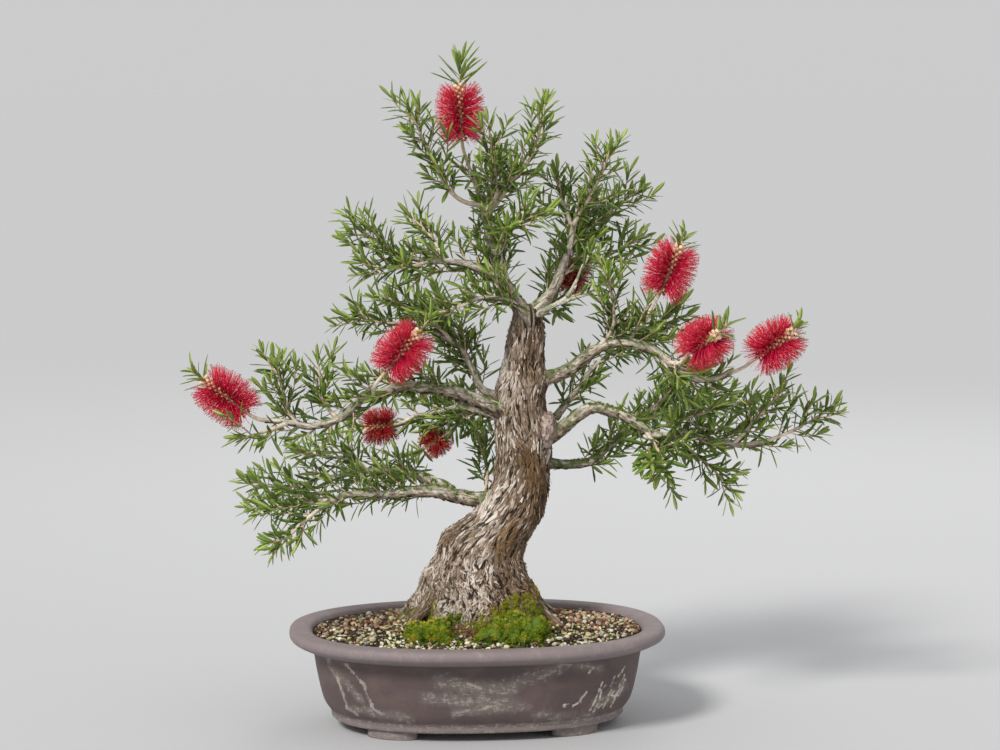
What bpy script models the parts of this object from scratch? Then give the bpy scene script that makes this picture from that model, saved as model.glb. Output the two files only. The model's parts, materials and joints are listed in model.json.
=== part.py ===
"""Bottlebrush bonsai in an unglazed oval pot.

The pot stands on four feet and holds two drain meshes, the soil and two moss
cushions. The wood is one grown piece, from the stump in the soil to the branch
ends. Every leafy spray and every flower brush is a piece of its own.

Metres, +Z up. X runs along the pot's length, and -Y is the tree's front. The
tree's own points are written in its front view, which is turned a little
against the pot (TREE_TURN).
"""

import math
import random
from collections import namedtuple

import bmesh
import bpy
from mathutils import Matrix, Quaternion, Vector
from mathutils.bvhtree import BVHTree

# Pot
POT_LENGTH = 0.410
POT_DEPTH = 0.310
OVAL_INSET = (POT_LENGTH - POT_DEPTH) / 2
POT_SIDES = 32
OVAL_POWER = 2.35
FOOT_HEIGHT = 0.010
FLOOR_TOP = 0.019
SOIL_EDGE_Z = 0.0985
# Half-length and height of each step of the pot's wall, from its underside round
# the rim to its floor.
POT_PROFILE = [
    (0.1500, 0.0100), (0.1575, 0.0100), (0.1600, 0.0125), (0.1590, 0.0165), (0.1620, 0.0200),
    (0.1690, 0.0320), (0.1752, 0.0585), (0.1785, 0.0780), (0.1815, 0.0855),
    (0.1940, 0.0905), (0.2035, 0.0960), (0.2050, 0.1015), (0.2020, 0.1062), (0.1930, 0.1075),
    (0.1840, 0.1062), (0.1800, 0.1020), (0.1765, 0.0900), (0.1620, 0.0370), (0.1490, 0.0235),
    (0.1350, FLOOR_TOP),
]
FOOT_SIZE = (0.056, 0.026)
FOOT_PLACE = (0.098, 0.074)
FOOT_TURN = math.radians(25)
FOOT_INTO_POT = 0.003
DRAIN_X = 0.075
DRAIN_RADIUS = 0.0125
DRAIN_SIDES = 12
DRAIN_MESH_RADIUS = 0.018
DRAIN_MESH_THICKNESS = 0.0015
# How far each square window of a drain mesh is from its middle, and its half-diagonal.
WINDOW_PLACE = 0.0050
WINDOW_RADIUS = 0.0048

# Soil and moss
GAP = 0.0003
SOIL_GAP = 0.0005
SOIL_CROWN_Z = 0.1165
# Half-length and height of the soil's lower wall, inside the pot's.
SOIL_WALL = [(0.1400, 0.0213), (0.1475, 0.0238), (0.1610, 0.0375), (0.1755, 0.0900)]
SOIL_TOP_HALF = 0.1782
SOIL_RINGS = 5
GRAVEL_RISE = (0.0012, 0.0032)
GRAVEL_SHIFT = 0.002
# Centre on the soil, and radii, of each moss cushion.
MOSS = {
    "moss_left": ((-0.046, -0.076), (0.028, 0.024, 0.019)),
    "moss_right": ((0.040, -0.068), (0.042, 0.035, 0.028)),
}
MOSS_MARGIN = 1.3
MOSS_LIFT = 0.0004

# Tree
TREE_TURN = math.radians(-6)
STUMP_BOTTOM = 0.062
STUMP_GAP = 0.0006
STUMP_HOLE_TOP = 0.2
TRUNK_SIDES = 24
TRUNK_RING = 0.0175
# Centre x, centre y, height, width and depth of the trunk, from the stump up.
TRUNK = [
    (0.002, 0.004, 0.062, 0.104, 0.094), (0.001, 0.002, 0.090, 0.132, 0.116),
    (0.000, 0.000, 0.112, 0.162, 0.140), (0.003, 0.000, 0.128, 0.150, 0.130),
    (0.003, 0.000, 0.148, 0.127, 0.110), (0.000, 0.000, 0.165, 0.111, 0.097),
    (0.002, 0.000, 0.182, 0.095, 0.085), (0.008, 0.000, 0.200, 0.092, 0.081),
    (0.016, 0.000, 0.211, 0.090, 0.079), (0.033, 0.000, 0.230, 0.078, 0.070),
    (0.042, 0.000, 0.247, 0.067, 0.061), (0.048, 0.000, 0.266, 0.059, 0.054),
    (0.050, 0.000, 0.292, 0.056, 0.052), (0.046, 0.000, 0.340, 0.051, 0.047),
    (0.045, 0.000, 0.364, 0.047, 0.043), (0.050, 0.000, 0.394, 0.040, 0.038),
    (0.054, 0.000, 0.425, 0.036, 0.034), (0.055, 0.000, 0.446, 0.030, 0.029),
]
ROOT_TOP = 0.205
ROOT_BOTTOM = 0.115
# Where the roots and flutes begin to show above the stump, and over what height.
BURIED_Z = 0.085
BURIED_RISE = 0.025
# Direction in degrees and strength of each surface root.
ROOTS = [(182, 0.20), (232, 0.13), (276, 0.17), (322, 0.15), (4, 0.18), (62, 0.16), (118, 0.14)]
ROOT_SPREAD = math.radians(17)
ROOT_MEAN = 0.11
FLUTE_DEPTH = 0.035
# Centre and radii of the burls where old branches were taken off.
BURLS = [
    ((0.067, 0.000, 0.320), (0.022, 0.021, 0.025)), ((-0.020, -0.010, 0.203), (0.018, 0.018, 0.017)),
    ((-0.040, -0.014, 0.154), (0.020, 0.020, 0.018)), ((0.061, -0.006, 0.374), (0.015, 0.014, 0.016)),
]

Branch = namedtuple("Branch", "radii route")
# Radius at the branch's base and tip, and the points that it grows through.
BRANCHES = {
    "low_left": Branch((0.0105, 0.0034), [
        (0.038, 0.000, 0.247), (0.014, -0.003, 0.245), (-0.004, -0.005, 0.245), (-0.024, -0.010, 0.250),
        (-0.044, -0.020, 0.256), (-0.072, -0.030, 0.257), (-0.103, -0.040, 0.255), (-0.134, -0.045, 0.257),
        (-0.150, -0.050, 0.253), (-0.167, -0.055, 0.243),
    ]),
    "low_left_back": Branch((0.0068, 0.0030), [
        (-0.030, -0.010, 0.252), (-0.040, -0.005, 0.259), (-0.055, 0.006, 0.266), (-0.074, 0.022, 0.271),
        (-0.096, 0.040, 0.270), (-0.128, 0.055, 0.268), (-0.150, 0.065, 0.262),
    ]),
    "mid_left": Branch((0.0100, 0.0032), [
        (0.046, 0.000, 0.334), (0.028, -0.008, 0.342), (0.009, -0.020, 0.351), (-0.012, -0.030, 0.360),
        (-0.031, -0.040, 0.368), (-0.051, -0.050, 0.372), (-0.080, -0.060, 0.374), (-0.101, -0.065, 0.368),
        (-0.121, -0.070, 0.362), (-0.137, -0.075, 0.349), (-0.152, -0.080, 0.340), (-0.176, -0.085, 0.335),
        (-0.199, -0.090, 0.340), (-0.222, -0.090, 0.342),
    ]),
    "mid_left_back": Branch((0.0070, 0.0026), [
        (0.046, 0.000, 0.322), (0.034, 0.020, 0.327), (0.016, 0.040, 0.332), (-0.002, 0.060, 0.335),
        (-0.023, 0.080, 0.336), (-0.045, 0.100, 0.328), (-0.071, 0.120, 0.322),
    ]),
    "left_rise": Branch((0.0062, 0.0028), [
        (0.046, 0.000, 0.350), (0.028, 0.018, 0.355), (0.007, 0.030, 0.361), (-0.007, 0.045, 0.385),
        (-0.017, 0.050, 0.403), (-0.041, 0.055, 0.419),
    ]),
    "upper_left": Branch((0.0078, 0.0030), [
        (0.054, 0.000, 0.430), (0.049, -0.006, 0.452), (0.041, -0.010, 0.466), (0.029, -0.015, 0.481),
        (0.011, -0.020, 0.493), (-0.005, -0.025, 0.500), (-0.023, -0.030, 0.505), (-0.052, -0.040, 0.507),
        (-0.072, -0.050, 0.511),
    ]),
    "front_left": Branch((0.0048, 0.0022), [
        (0.054, -0.004, 0.428), (0.050, -0.014, 0.446), (0.041, -0.022, 0.458), (0.026, -0.035, 0.466),
        (0.008, -0.045, 0.468), (-0.006, -0.055, 0.465),
    ]),
    "leader": Branch((0.0088, 0.0042), [
        (0.054, 0.002, 0.428), (0.048, 0.008, 0.448), (0.034, 0.010, 0.474), (0.022, 0.010, 0.503),
        (0.014, 0.010, 0.526), (0.010, 0.010, 0.547), (0.008, 0.010, 0.563),
    ]),
    "right_leader": Branch((0.0092, 0.0036), [
        (0.054, 0.000, 0.428), (0.060, 0.000, 0.446), (0.069, 0.000, 0.457), (0.079, 0.005, 0.467),
        (0.088, 0.010, 0.486), (0.096, 0.015, 0.505), (0.102, 0.020, 0.526), (0.104, 0.020, 0.541),
    ]),
    "white_twig": Branch((0.0040, 0.0020), [
        (0.064, -0.004, 0.446), (0.074, -0.014, 0.452), (0.086, -0.024, 0.460), (0.097, -0.031, 0.468),
        (0.105, -0.035, 0.479),
    ]),
    "upper_right": Branch((0.0090, 0.0030), [
        (0.050, 0.000, 0.366), (0.070, -0.004, 0.376), (0.090, -0.010, 0.383), (0.108, -0.020, 0.394),
        (0.122, -0.030, 0.408), (0.139, -0.040, 0.417), (0.155, -0.050, 0.421), (0.171, -0.060, 0.420),
        (0.188, -0.065, 0.414), (0.201, -0.070, 0.403), (0.218, -0.075, 0.391), (0.235, -0.080, 0.384),
        (0.252, -0.080, 0.385), (0.268, -0.080, 0.391),
    ]),
    "cut_stub": Branch((0.0030, 0.0020), [
        (0.196, -0.067, 0.408), (0.201, -0.071, 0.395), (0.206, -0.074, 0.383),
    ]),
    "knob_up": Branch((0.0062, 0.0026), [
        (0.062, 0.006, 0.314), (0.076, 0.022, 0.325), (0.088, 0.032, 0.334), (0.101, 0.045, 0.348),
        (0.114, 0.055, 0.364), (0.126, 0.066, 0.380),
    ]),
    "mid_right": Branch((0.0086, 0.0030), [
        (0.060, 0.000, 0.307), (0.078, 0.000, 0.314), (0.092, 0.000, 0.322), (0.108, 0.000, 0.336),
        (0.124, 0.005, 0.344), (0.139, 0.010, 0.342), (0.158, 0.010, 0.335), (0.175, 0.010, 0.326),
        (0.190, 0.005, 0.316), (0.205, 0.000, 0.314), (0.223, -0.005, 0.317), (0.245, -0.010, 0.313),
        (0.271, -0.015, 0.308), (0.293, -0.020, 0.307), (0.315, -0.020, 0.312),
    ]),
    "low_right": Branch((0.0074, 0.0028), [
        (0.052, 0.004, 0.288), (0.070, 0.012, 0.284), (0.084, 0.020, 0.281), (0.103, 0.030, 0.279),
        (0.125, 0.040, 0.281), (0.139, 0.050, 0.291), (0.155, 0.060, 0.304), (0.169, 0.070, 0.316),
        (0.188, 0.085, 0.326), (0.207, 0.100, 0.329),
    ]),
}

Spray = namedtuple("Spray", "parent along bare shoots bloom route")
# The branch that a spray grows from, how far along it, how much of the stem is
# bare, how many side shoots it has, which of its points the flower brush starts
# at, and the points that it grows through after leaving the branch.
SPRAYS = {
    "crown_left": Spray("leader", 1.00, 0.45, 2, None, [
        (-0.009, -0.010, 0.567), (-0.023, -0.020, 0.575), (-0.036, -0.030, 0.592),
        (-0.048, -0.036, 0.618), (-0.062, -0.045, 0.648), (-0.074, -0.050, 0.674),
    ]),
    "crown_top": Spray("leader", 1.00, 0.30, 1, 3, [
        (0.002, 0.018, 0.576), (-0.006, 0.012, 0.598), (-0.014, 0.004, 0.622),
        (-0.016, 0.000, 0.633), (-0.019, 0.000, 0.694), (-0.017, -0.004, 0.716),
    ]),
    "crown_mid": Spray("leader", 0.96, 0.25, 1, None, [
        (0.020, -0.006, 0.572), (0.021, -0.014, 0.592), (0.016, -0.022, 0.624), (0.012, -0.030, 0.655),
    ]),
    "crown_right": Spray("leader", 0.92, 0.30, 2, None, [
        (0.024, 0.002, 0.570), (0.040, -0.014, 0.594), (0.053, -0.024, 0.609), (0.066, -0.030, 0.640),
        (0.073, -0.030, 0.676),
    ]),
    "crown_low_right": Spray("leader", 0.50, 0.15, 1, None, [
        (0.026, -0.010, 0.530), (0.037, -0.025, 0.541), (0.053, -0.040, 0.552), (0.078, -0.050, 0.561),
    ]),
    "crown_back": Spray("leader", 0.80, 0.15, 1, None, [
        (0.016, 0.030, 0.562), (0.020, 0.050, 0.588), (0.030, 0.078, 0.622),
    ]),
    "right_top": Spray("right_leader", 1.00, 0.20, 1, None, [
        (0.111, 0.012, 0.556), (0.121, 0.002, 0.572), (0.136, -0.010, 0.603), (0.143, -0.018, 0.628),
    ]),
    "right_top_left": Spray("right_leader", 0.97, 0.10, 1, None, [
        (0.097, 0.024, 0.558), (0.090, 0.024, 0.576), (0.084, 0.018, 0.600),
    ]),
    "right_out": Spray("right_leader", 0.82, 0.10, 1, None, [
        (0.116, 0.030, 0.534), (0.132, 0.036, 0.546), (0.150, 0.040, 0.560), (0.180, 0.048, 0.581),
    ]),
    "right_low": Spray("right_leader", 0.55, 0.10, 1, None, [
        (0.110, 0.024, 0.498), (0.134, 0.036, 0.503), (0.160, 0.050, 0.516), (0.182, 0.058, 0.526),
    ]),
    "right_back": Spray("right_leader", 0.72, 0.10, 1, None, [
        (0.108, 0.044, 0.526), (0.122, 0.072, 0.546), (0.140, 0.104, 0.566),
    ]),
    "rear_brush": Spray("right_leader", 0.20, 0.10, 0, 2, [
        (0.078, 0.026, 0.456), (0.088, 0.050, 0.458), (0.096, 0.068, 0.462), (0.112, 0.098, 0.504),
        (0.118, 0.108, 0.520),
    ]),
    "upper_left_tip": Spray("upper_left", 1.00, 0.05, 2, None, [
        (-0.084, -0.054, 0.515), (-0.110, -0.062, 0.532), (-0.138, -0.074, 0.558),
    ]),
    "upper_left_under": Spray("upper_left", 0.86, 0.10, 1, None, [
        (-0.070, -0.060, 0.502), (-0.098, -0.074, 0.502), (-0.124, -0.086, 0.508),
    ]),
    "upper_left_rise": Spray("upper_left", 0.76, 0.10, 1, None, [
        (-0.042, -0.028, 0.522), (-0.056, -0.018, 0.540), (-0.076, -0.012, 0.556),
    ]),
    "front_left_tip": Spray("front_left", 1.00, 0.05, 1, None, [
        (-0.018, -0.060, 0.460), (-0.036, -0.070, 0.455), (-0.056, -0.078, 0.453),
    ]),
    "left_rise_tip": Spray("left_rise", 1.00, 0.05, 2, None, [
        (-0.056, 0.058, 0.424), (-0.080, 0.062, 0.430), (-0.110, 0.066, 0.433), (-0.150, 0.074, 0.437),
    ]),
    "left_rise_side": Spray("left_rise", 0.86, 0.10, 1, None, [
        (-0.044, 0.046, 0.430), (-0.070, 0.040, 0.448), (-0.100, 0.030, 0.462),
    ]),
    "left_rise_back": Spray("left_rise", 0.60, 0.10, 1, None, [
        (-0.018, 0.072, 0.408), (-0.034, 0.100, 0.430), (-0.052, 0.128, 0.450),
    ]),
    "left_brush": Spray("mid_left", 0.58, 0.10, 0, 3, [
        (-0.110, -0.077, 0.372), (-0.106, -0.084, 0.380), (-0.099, -0.087, 0.389),
        (-0.095, -0.088, 0.394), (-0.059, -0.095, 0.437), (-0.048, -0.098, 0.451),
    ]),
    "mid_left_rise": Spray("mid_left", 0.88, 0.10, 1, None, [
        (-0.198, -0.090, 0.352), (-0.204, -0.094, 0.378), (-0.213, -0.099, 0.410),
    ]),
    "mid_left_rise_far": Spray("mid_left", 0.74, 0.10, 1, None, [
        (-0.158, -0.074, 0.354), (-0.165, -0.066, 0.378), (-0.169, -0.058, 0.402),
    ]),
    "far_left_brush": Spray("mid_left", 1.00, 0.10, 0, 1, [
        (-0.232, -0.090, 0.344), (-0.240, -0.091, 0.349), (-0.287, -0.095, 0.386), (-0.298, -0.097, 0.394),
    ]),
    "mid_left_out": Spray("mid_left", 0.92, 0.05, 1, None, [
        (-0.210, -0.100, 0.336), (-0.228, -0.108, 0.330), (-0.248, -0.116, 0.326),
    ]),
    "rear_left_brush": Spray("mid_left_back", 1.00, 0.10, 0, 2, [
        (-0.078, 0.122, 0.318), (-0.086, 0.127, 0.313), (-0.092, 0.130, 0.311), (-0.132, 0.140, 0.305),
        (-0.144, 0.143, 0.302),
    ]),
    "rear_brush_low": Spray("mid_left_back", 0.50, 0.10, 0, 2, [
        (-0.014, 0.084, 0.326), (-0.026, 0.096, 0.312), (-0.034, 0.104, 0.304), (-0.062, 0.128, 0.282),
        (-0.072, 0.136, 0.275),
    ]),
    "low_left_back_tip": Spray("low_left_back", 1.00, 0.05, 2, None, [
        (-0.176, 0.070, 0.258), (-0.204, 0.075, 0.249), (-0.230, 0.080, 0.247), (-0.260, 0.087, 0.256),
    ]),
    "low_left_back_rise": Spray("low_left_back", 0.80, 0.10, 2, None, [
        (-0.134, 0.054, 0.280), (-0.164, 0.052, 0.284), (-0.200, 0.048, 0.290),
    ]),
    "low_left_tip": Spray("low_left", 1.00, 0.05, 2, None, [
        (-0.182, -0.060, 0.232), (-0.195, -0.065, 0.220), (-0.206, -0.071, 0.208), (-0.216, -0.080, 0.198),
    ]),
    "low_left_side": Spray("low_left", 0.93, 0.10, 2, None, [
        (-0.166, -0.046, 0.250), (-0.200, -0.036, 0.242), (-0.248, -0.030, 0.240),
    ]),
    "heel_shoot": Spray("low_left", 0.16, 0.45, 1, None, [
        (0.011, 0.016, 0.262), (0.010, 0.030, 0.280), (0.008, 0.034, 0.304), (0.002, 0.036, 0.320),
    ]),
    "upper_right_top": Spray("upper_right", 0.38, 0.15, 2, None, [
        (0.144, -0.048, 0.434), (0.146, -0.055, 0.452), (0.143, -0.063, 0.476), (0.139, -0.070, 0.500),
    ]),
    "upper_right_brush": Spray("upper_right", 0.52, 0.15, 1, 2, [
        (0.174, -0.054, 0.438), (0.186, -0.050, 0.458), (0.195, -0.050, 0.472), (0.216, -0.055, 0.525),
        (0.221, -0.058, 0.536),
    ]),
    "mid_right_brush": Spray("upper_right", 0.72, 0.15, 0, 2, [
        (0.214, -0.086, 0.402), (0.220, -0.092, 0.410), (0.226, -0.098, 0.416), (0.250, -0.129, 0.437),
        (0.259, -0.136, 0.447),
    ]),
    "end_brush": Spray("upper_right", 1.00, 0.10, 1, 2, [
        (0.280, -0.080, 0.396), (0.290, -0.081, 0.403), (0.296, -0.082, 0.408), (0.332, -0.102, 0.437),
        (0.338, -0.105, 0.445),
    ]),
    "upper_right_back": Spray("upper_right", 0.46, 0.10, 2, None, [
        (0.166, -0.034, 0.428), (0.192, -0.010, 0.434), (0.232, 0.022, 0.444),
    ]),
    "knob_up_tip": Spray("knob_up", 1.00, 0.05, 1, None, [
        (0.140, 0.074, 0.392), (0.160, 0.090, 0.400), (0.184, 0.108, 0.404),
    ]),
    "mid_right_tip": Spray("mid_right", 1.00, 0.05, 1, None, [
        (0.339, -0.021, 0.322), (0.360, -0.025, 0.334), (0.382, -0.028, 0.347),
    ]),
    "mid_right_rise": Spray("mid_right", 0.86, 0.10, 1, None, [
        (0.292, -0.028, 0.326), (0.308, -0.036, 0.346), (0.328, -0.046, 0.370),
    ]),
    "mid_right_rise_near": Spray("mid_right", 0.62, 0.10, 1, None, [
        (0.218, -0.018, 0.332), (0.240, -0.034, 0.342), (0.262, -0.050, 0.354),
    ]),
    "mid_right_drop": Spray("mid_right", 0.50, 0.15, 1, None, [
        (0.196, -0.016, 0.300), (0.200, -0.036, 0.286), (0.188, -0.056, 0.274),
    ]),
    "mid_right_under": Spray("mid_right", 0.60, 0.10, 2, None, [
        (0.226, 0.014, 0.300), (0.248, 0.026, 0.284), (0.270, 0.024, 0.262), (0.282, 0.022, 0.250),
    ]),
    "low_right_tip": Spray("low_right", 1.00, 0.05, 2, None, [
        (0.222, 0.106, 0.332), (0.262, 0.114, 0.336), (0.312, 0.126, 0.336),
    ]),
    "low_right_side": Spray("low_right", 0.86, 0.10, 1, None, [
        (0.204, 0.098, 0.342), (0.232, 0.106, 0.362), (0.254, 0.114, 0.384),
    ]),
}

# Leaf, twig and flower brush
LEAF_LENGTH = 0.031
LEAF_WIDTH = 0.0048
LEAF_THICKNESS = 0.0011
LEAF_WIDEST = 0.45
LEAF_ANGLE = (math.radians(38), math.radians(60))
TWIG_RADIUS = (0.0017, 0.0008)
WHORL_SPACING = 0.0400
WHORL_LENGTH = 0.0028
WHORL_TURN = math.radians(38)
BUD_LENGTH = 0.0020
TWIG_POINT = 2.5
LEAVES_IN_WHORL = 3
LEAF_TRIES = 14
BARE_STEP = 0.016
SHOOT_LENGTH = (0.036, 0.056)
SHOOT_ANGLE = math.radians(48)
SHOOT_BARE = 0.4
SHOOT_HALF = 0.0020
SHOOT_TRIES = 12
BEND_STEP = 0.0006
BEND_TRIES = 60
THICKEST_TWIG = 0.0030
TIP_LENGTH = 0.003
CHECK_STEP = 0.006
CLEARANCE = 0.0005
BRUSH_STEM = 0.0011
BRUSH_BORE = 0.0017
BRUSH_CORE = 0.0046
BRUSH_REACH = 0.0275
BRUSH_SIDES = 9
BRUSH_ROWS = 8
# The flowers at the tree's back, whose names start with "rear", are coarser.
REAR_BRUSH_ROWS = 6
ROW_TURN = 0.33
BRUSH_LEAN = (math.radians(-14), math.radians(30))
BRUSH_END_GAP = 0.002
SPIKE_HALF = 0.0012
SPIKE_LEAST = 0.004
SPIKE_WANDER = 0.07
# How close to a whole triangle the one is that crossings are tested with.
SHRINK = 0.99

COLOURS = {
    "bark": ((0.34, 0.29, 0.23), 0.90),
    "clay": ((0.22, 0.17, 0.16), 0.80),
    "soil": ((0.12, 0.09, 0.06), 0.95),
    "moss": ((0.14, 0.20, 0.03), 0.95),
    "leaf": ((0.10, 0.19, 0.05), 0.55),
    "brush": ((0.62, 0.02, 0.07), 0.60),
    "mesh": ((0.02, 0.02, 0.02), 0.60),
}


def clear_scene():
    for thing in list(bpy.data.objects):
        bpy.data.objects.remove(thing, do_unlink=True)


def new_collection(name):
    collection = bpy.data.collections.new(name)
    bpy.context.scene.collection.children.link(collection)
    return collection


def material(name):
    """The material of one finish, made once."""
    if name in bpy.data.materials:
        return bpy.data.materials[name]
    colour, roughness = COLOURS[name]
    made = bpy.data.materials.new(name)
    made.use_nodes = True
    shader = made.node_tree.nodes["Principled BSDF"]
    shader.inputs["Base Color"].default_value = (*colour, 1.0)
    shader.inputs["Roughness"].default_value = roughness
    shader.inputs["Metallic"].default_value = 0.0
    return made


def object_from(name, bm, collection, finish=None):
    """Turns a bmesh into an object with outward faces."""
    bmesh.ops.recalc_face_normals(bm, faces=bm.faces)
    if bm.calc_volume(signed=True) < 0:
        bmesh.ops.reverse_faces(bm, faces=bm.faces)
    mesh = bpy.data.meshes.new(name)
    bm.to_mesh(mesh)
    bm.free()
    made = bpy.data.objects.new(name, mesh)
    collection.objects.link(made)
    if finish:
        mesh.materials.append(material(finish))
    return made


def hide(cutter):
    cutter.hide_render = True
    cutter.display_type = "WIRE"
    return cutter


def apply_boolean(target, operation, collection):
    """Cuts or joins all of a collection's objects, then removes them."""
    cut = target.modifiers.new(operation.lower(), "BOOLEAN")
    cut.operation = operation
    cut.operand_type = "COLLECTION"
    cut.collection = collection
    cut.solver = "EXACT"
    bpy.context.view_layer.update()
    graph = bpy.context.evaluated_depsgraph_get()
    joined = bpy.data.meshes.new_from_object(target.evaluated_get(graph))
    old = target.data
    target.modifiers.clear()
    target.data = joined
    bpy.data.meshes.remove(old)
    for helper in list(collection.objects):
        bpy.data.objects.remove(helper, do_unlink=True)
    bpy.data.collections.remove(collection)


def extrude_to(bm, face, corners):
    """Extrudes one face and moves its corners. Returns the new face and its sides."""
    end = bmesh.ops.extrude_discrete_faces(bm, faces=[face])["faces"][0]
    for vert, corner in zip(end.verts, corners):
        vert.co = corner
    return end, [loop.link_loop_radial_next.face for loop in end.loops]


def loft(rings):
    """A closed body through rings of points. Returns the bmesh and the side faces, ring by ring."""
    bm = bmesh.new()
    face = bm.faces.new([bm.verts.new(point) for point in rings[0]])
    bm.faces.new([bm.verts.new(point) for point in reversed(rings[0])])
    rows = []
    for ring in rings[1:]:
        face, sides = extrude_to(bm, face, ring)
        rows.append(sides)
    bmesh.ops.remove_doubles(bm, verts=bm.verts, dist=1e-6)
    return bm, rows


def split_quads(bm, rows):
    """Cuts every side face along the same diagonal, so that a body and its cutter stay a set way apart."""
    for row in rows:
        for face in row:
            bmesh.utils.face_split(face, face.verts[0], face.verts[2])


def oval(half_length, height, sides=POT_SIDES):
    """A ring of the pot's oval. Its depth is the same amount less than its length all the way in."""
    half_depth = max(half_length - OVAL_INSET, half_length * 0.5)
    points = []
    for step in range(sides):
        angle = math.tau * step / sides
        x = abs(math.cos(angle)) ** (2 / OVAL_POWER)
        y = abs(math.sin(angle)) ** (2 / OVAL_POWER)
        points.append(Vector((
            math.copysign(x, math.cos(angle)) * half_length,
            math.copysign(y, math.sin(angle)) * half_depth,
            height,
        )))
    return points


def turned(point):
    """A point of the tree's front view, in the pot's frame."""
    return Matrix.Rotation(TREE_TURN, 3, "Z") @ Vector(point)


def turned_route(points):
    return [turned(point) for point in points]


def add_feet(collection):
    """Four oval feet, a little narrower at the ground, that run up into the pot's floor."""
    depth = FOOT_HEIGHT + FOOT_INTO_POT
    for x_side in (-1, 1):
        for y_side in (-1, 1):
            bm = bmesh.new()
            bmesh.ops.create_cone(bm, cap_ends=True, segments=12, radius1=0.46, radius2=0.5, depth=depth)
            bmesh.ops.scale(bm, vec=(FOOT_SIZE[0], FOOT_SIZE[1], 1), verts=bm.verts)
            turn = Matrix.Rotation(-x_side * y_side * FOOT_TURN, 3, "Z")
            bmesh.ops.rotate(bm, cent=(0, 0, 0), matrix=turn, verts=bm.verts)
            middle = (x_side * FOOT_PLACE[0], y_side * FOOT_PLACE[1], depth / 2)
            bmesh.ops.translate(bm, vec=middle, verts=bm.verts)
            hide(object_from("foot", bm, collection))


def upright_cylinder(name, radius, bottom, top, place, sides, collection):
    bm = bmesh.new()
    bmesh.ops.create_cone(
        bm, cap_ends=True, segments=sides, radius1=radius, radius2=radius, depth=top - bottom
    )
    bmesh.ops.translate(bm, vec=(place[0], place[1], (top + bottom) / 2), verts=bm.verts)
    return object_from(name, bm, collection)


def make_pot(parts):
    bm, _ = loft([oval(half, height) for half, height in POT_PROFILE])
    pot = object_from("pot", bm, parts, "clay")
    feet = new_collection("pot_feet")
    add_feet(feet)
    apply_boolean(pot, "UNION", feet)
    holes = new_collection("pot_holes")
    for side in (-1, 1):
        place = (side * DRAIN_X, 0)
        hide(upright_cylinder("drain_hole", DRAIN_RADIUS, 0, 2 * FLOOR_TOP, place, DRAIN_SIDES, holes))
    apply_boolean(pot, "DIFFERENCE", holes)


def make_drain_mesh(name, side, parts):
    """A plastic disc with a cross of bars, over one drain hole."""
    bottom = FLOOR_TOP + GAP
    top = bottom + DRAIN_MESH_THICKNESS
    middle = (side * DRAIN_X, 0)
    mesh = upright_cylinder(name, DRAIN_MESH_RADIUS, bottom, top, middle, DRAIN_SIDES, parts)
    mesh.data.materials.append(material("mesh"))
    windows = new_collection(name + "_windows")
    for x_side in (-1, 1):
        for y_side in (-1, 1):
            place = (middle[0] + x_side * WINDOW_PLACE, y_side * WINDOW_PLACE)
            hide(upright_cylinder("window", WINDOW_RADIUS, bottom / 2, 2 * top, place, 4, windows))
    apply_boolean(mesh, "DIFFERENCE", windows)


def soil_height(x, y):
    """Height of the soil, mounded round the trunk."""
    half = SOIL_WALL[-1][0]
    out = min(1.0, math.hypot(x / half, y / (half - OVAL_INSET)))
    return SOIL_EDGE_Z + (SOIL_CROWN_Z - SOIL_EDGE_Z) * math.cos(out * math.pi / 2) ** 1.2


def near_moss(face):
    """Whether any corner of a face is under a moss cushion or close to one."""
    for (x, y), (across, deep, _) in MOSS.values():
        place = turned((x, y, 0))
        for vert in face.verts:
            away = vert.co - place
            if math.hypot(away.x / across, away.y / deep) < MOSS_MARGIN:
                return True
    return False


def soil_body(rise=0.0):
    """The soil's mound as rings, from its underside up its wall and in to the middle."""
    rings = [oval(half - SOIL_GAP, height) for half, height in SOIL_WALL]
    for ring in range(SOIL_RINGS):
        share = 1 - ring / SOIL_RINGS
        half = (SOIL_TOP_HALF - SOIL_GAP) * share
        points = oval(half, 0)
        for point in points:
            point.z = soil_height(point.x, point.y) + rise
        rings.append(points)
    return loft(rings)


def make_soil(parts):
    """The soil, with gravel raised from its top and a hole for the stump."""
    bm, rows = soil_body()
    rng = random.Random("gravel")
    for row in rows[len(SOIL_WALL):]:
        for face in row:
            if near_moss(face):
                continue
            middle = face.calc_center_median()
            apex = bmesh.ops.poke(bm, faces=[face])["verts"][0]
            aside = [rng.uniform(-GRAVEL_SHIFT, GRAVEL_SHIFT) for _ in range(2)]
            apex.co = middle + Vector((*aside, rng.uniform(*GRAVEL_RISE)))
    soil = object_from("soil", bm, parts, "soil")
    apply_boolean(soil, "DIFFERENCE", trunk_hole("stump_hole", STUMP_BOTTOM - GAP))
    return soil


def trunk_at(height):
    """Centre, width and depth of the trunk at a height, eased between its sections."""
    upper = next((i for i, row in enumerate(TRUNK) if row[2] >= height), len(TRUNK) - 1)
    upper = max(upper, 1)
    low, high = TRUNK[upper - 1], TRUNK[upper]
    share = min(1.0, max(0.0, (height - low[2]) / (high[2] - low[2])))
    return [a + (b - a) * share for a, b in zip(low, high)]


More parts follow.
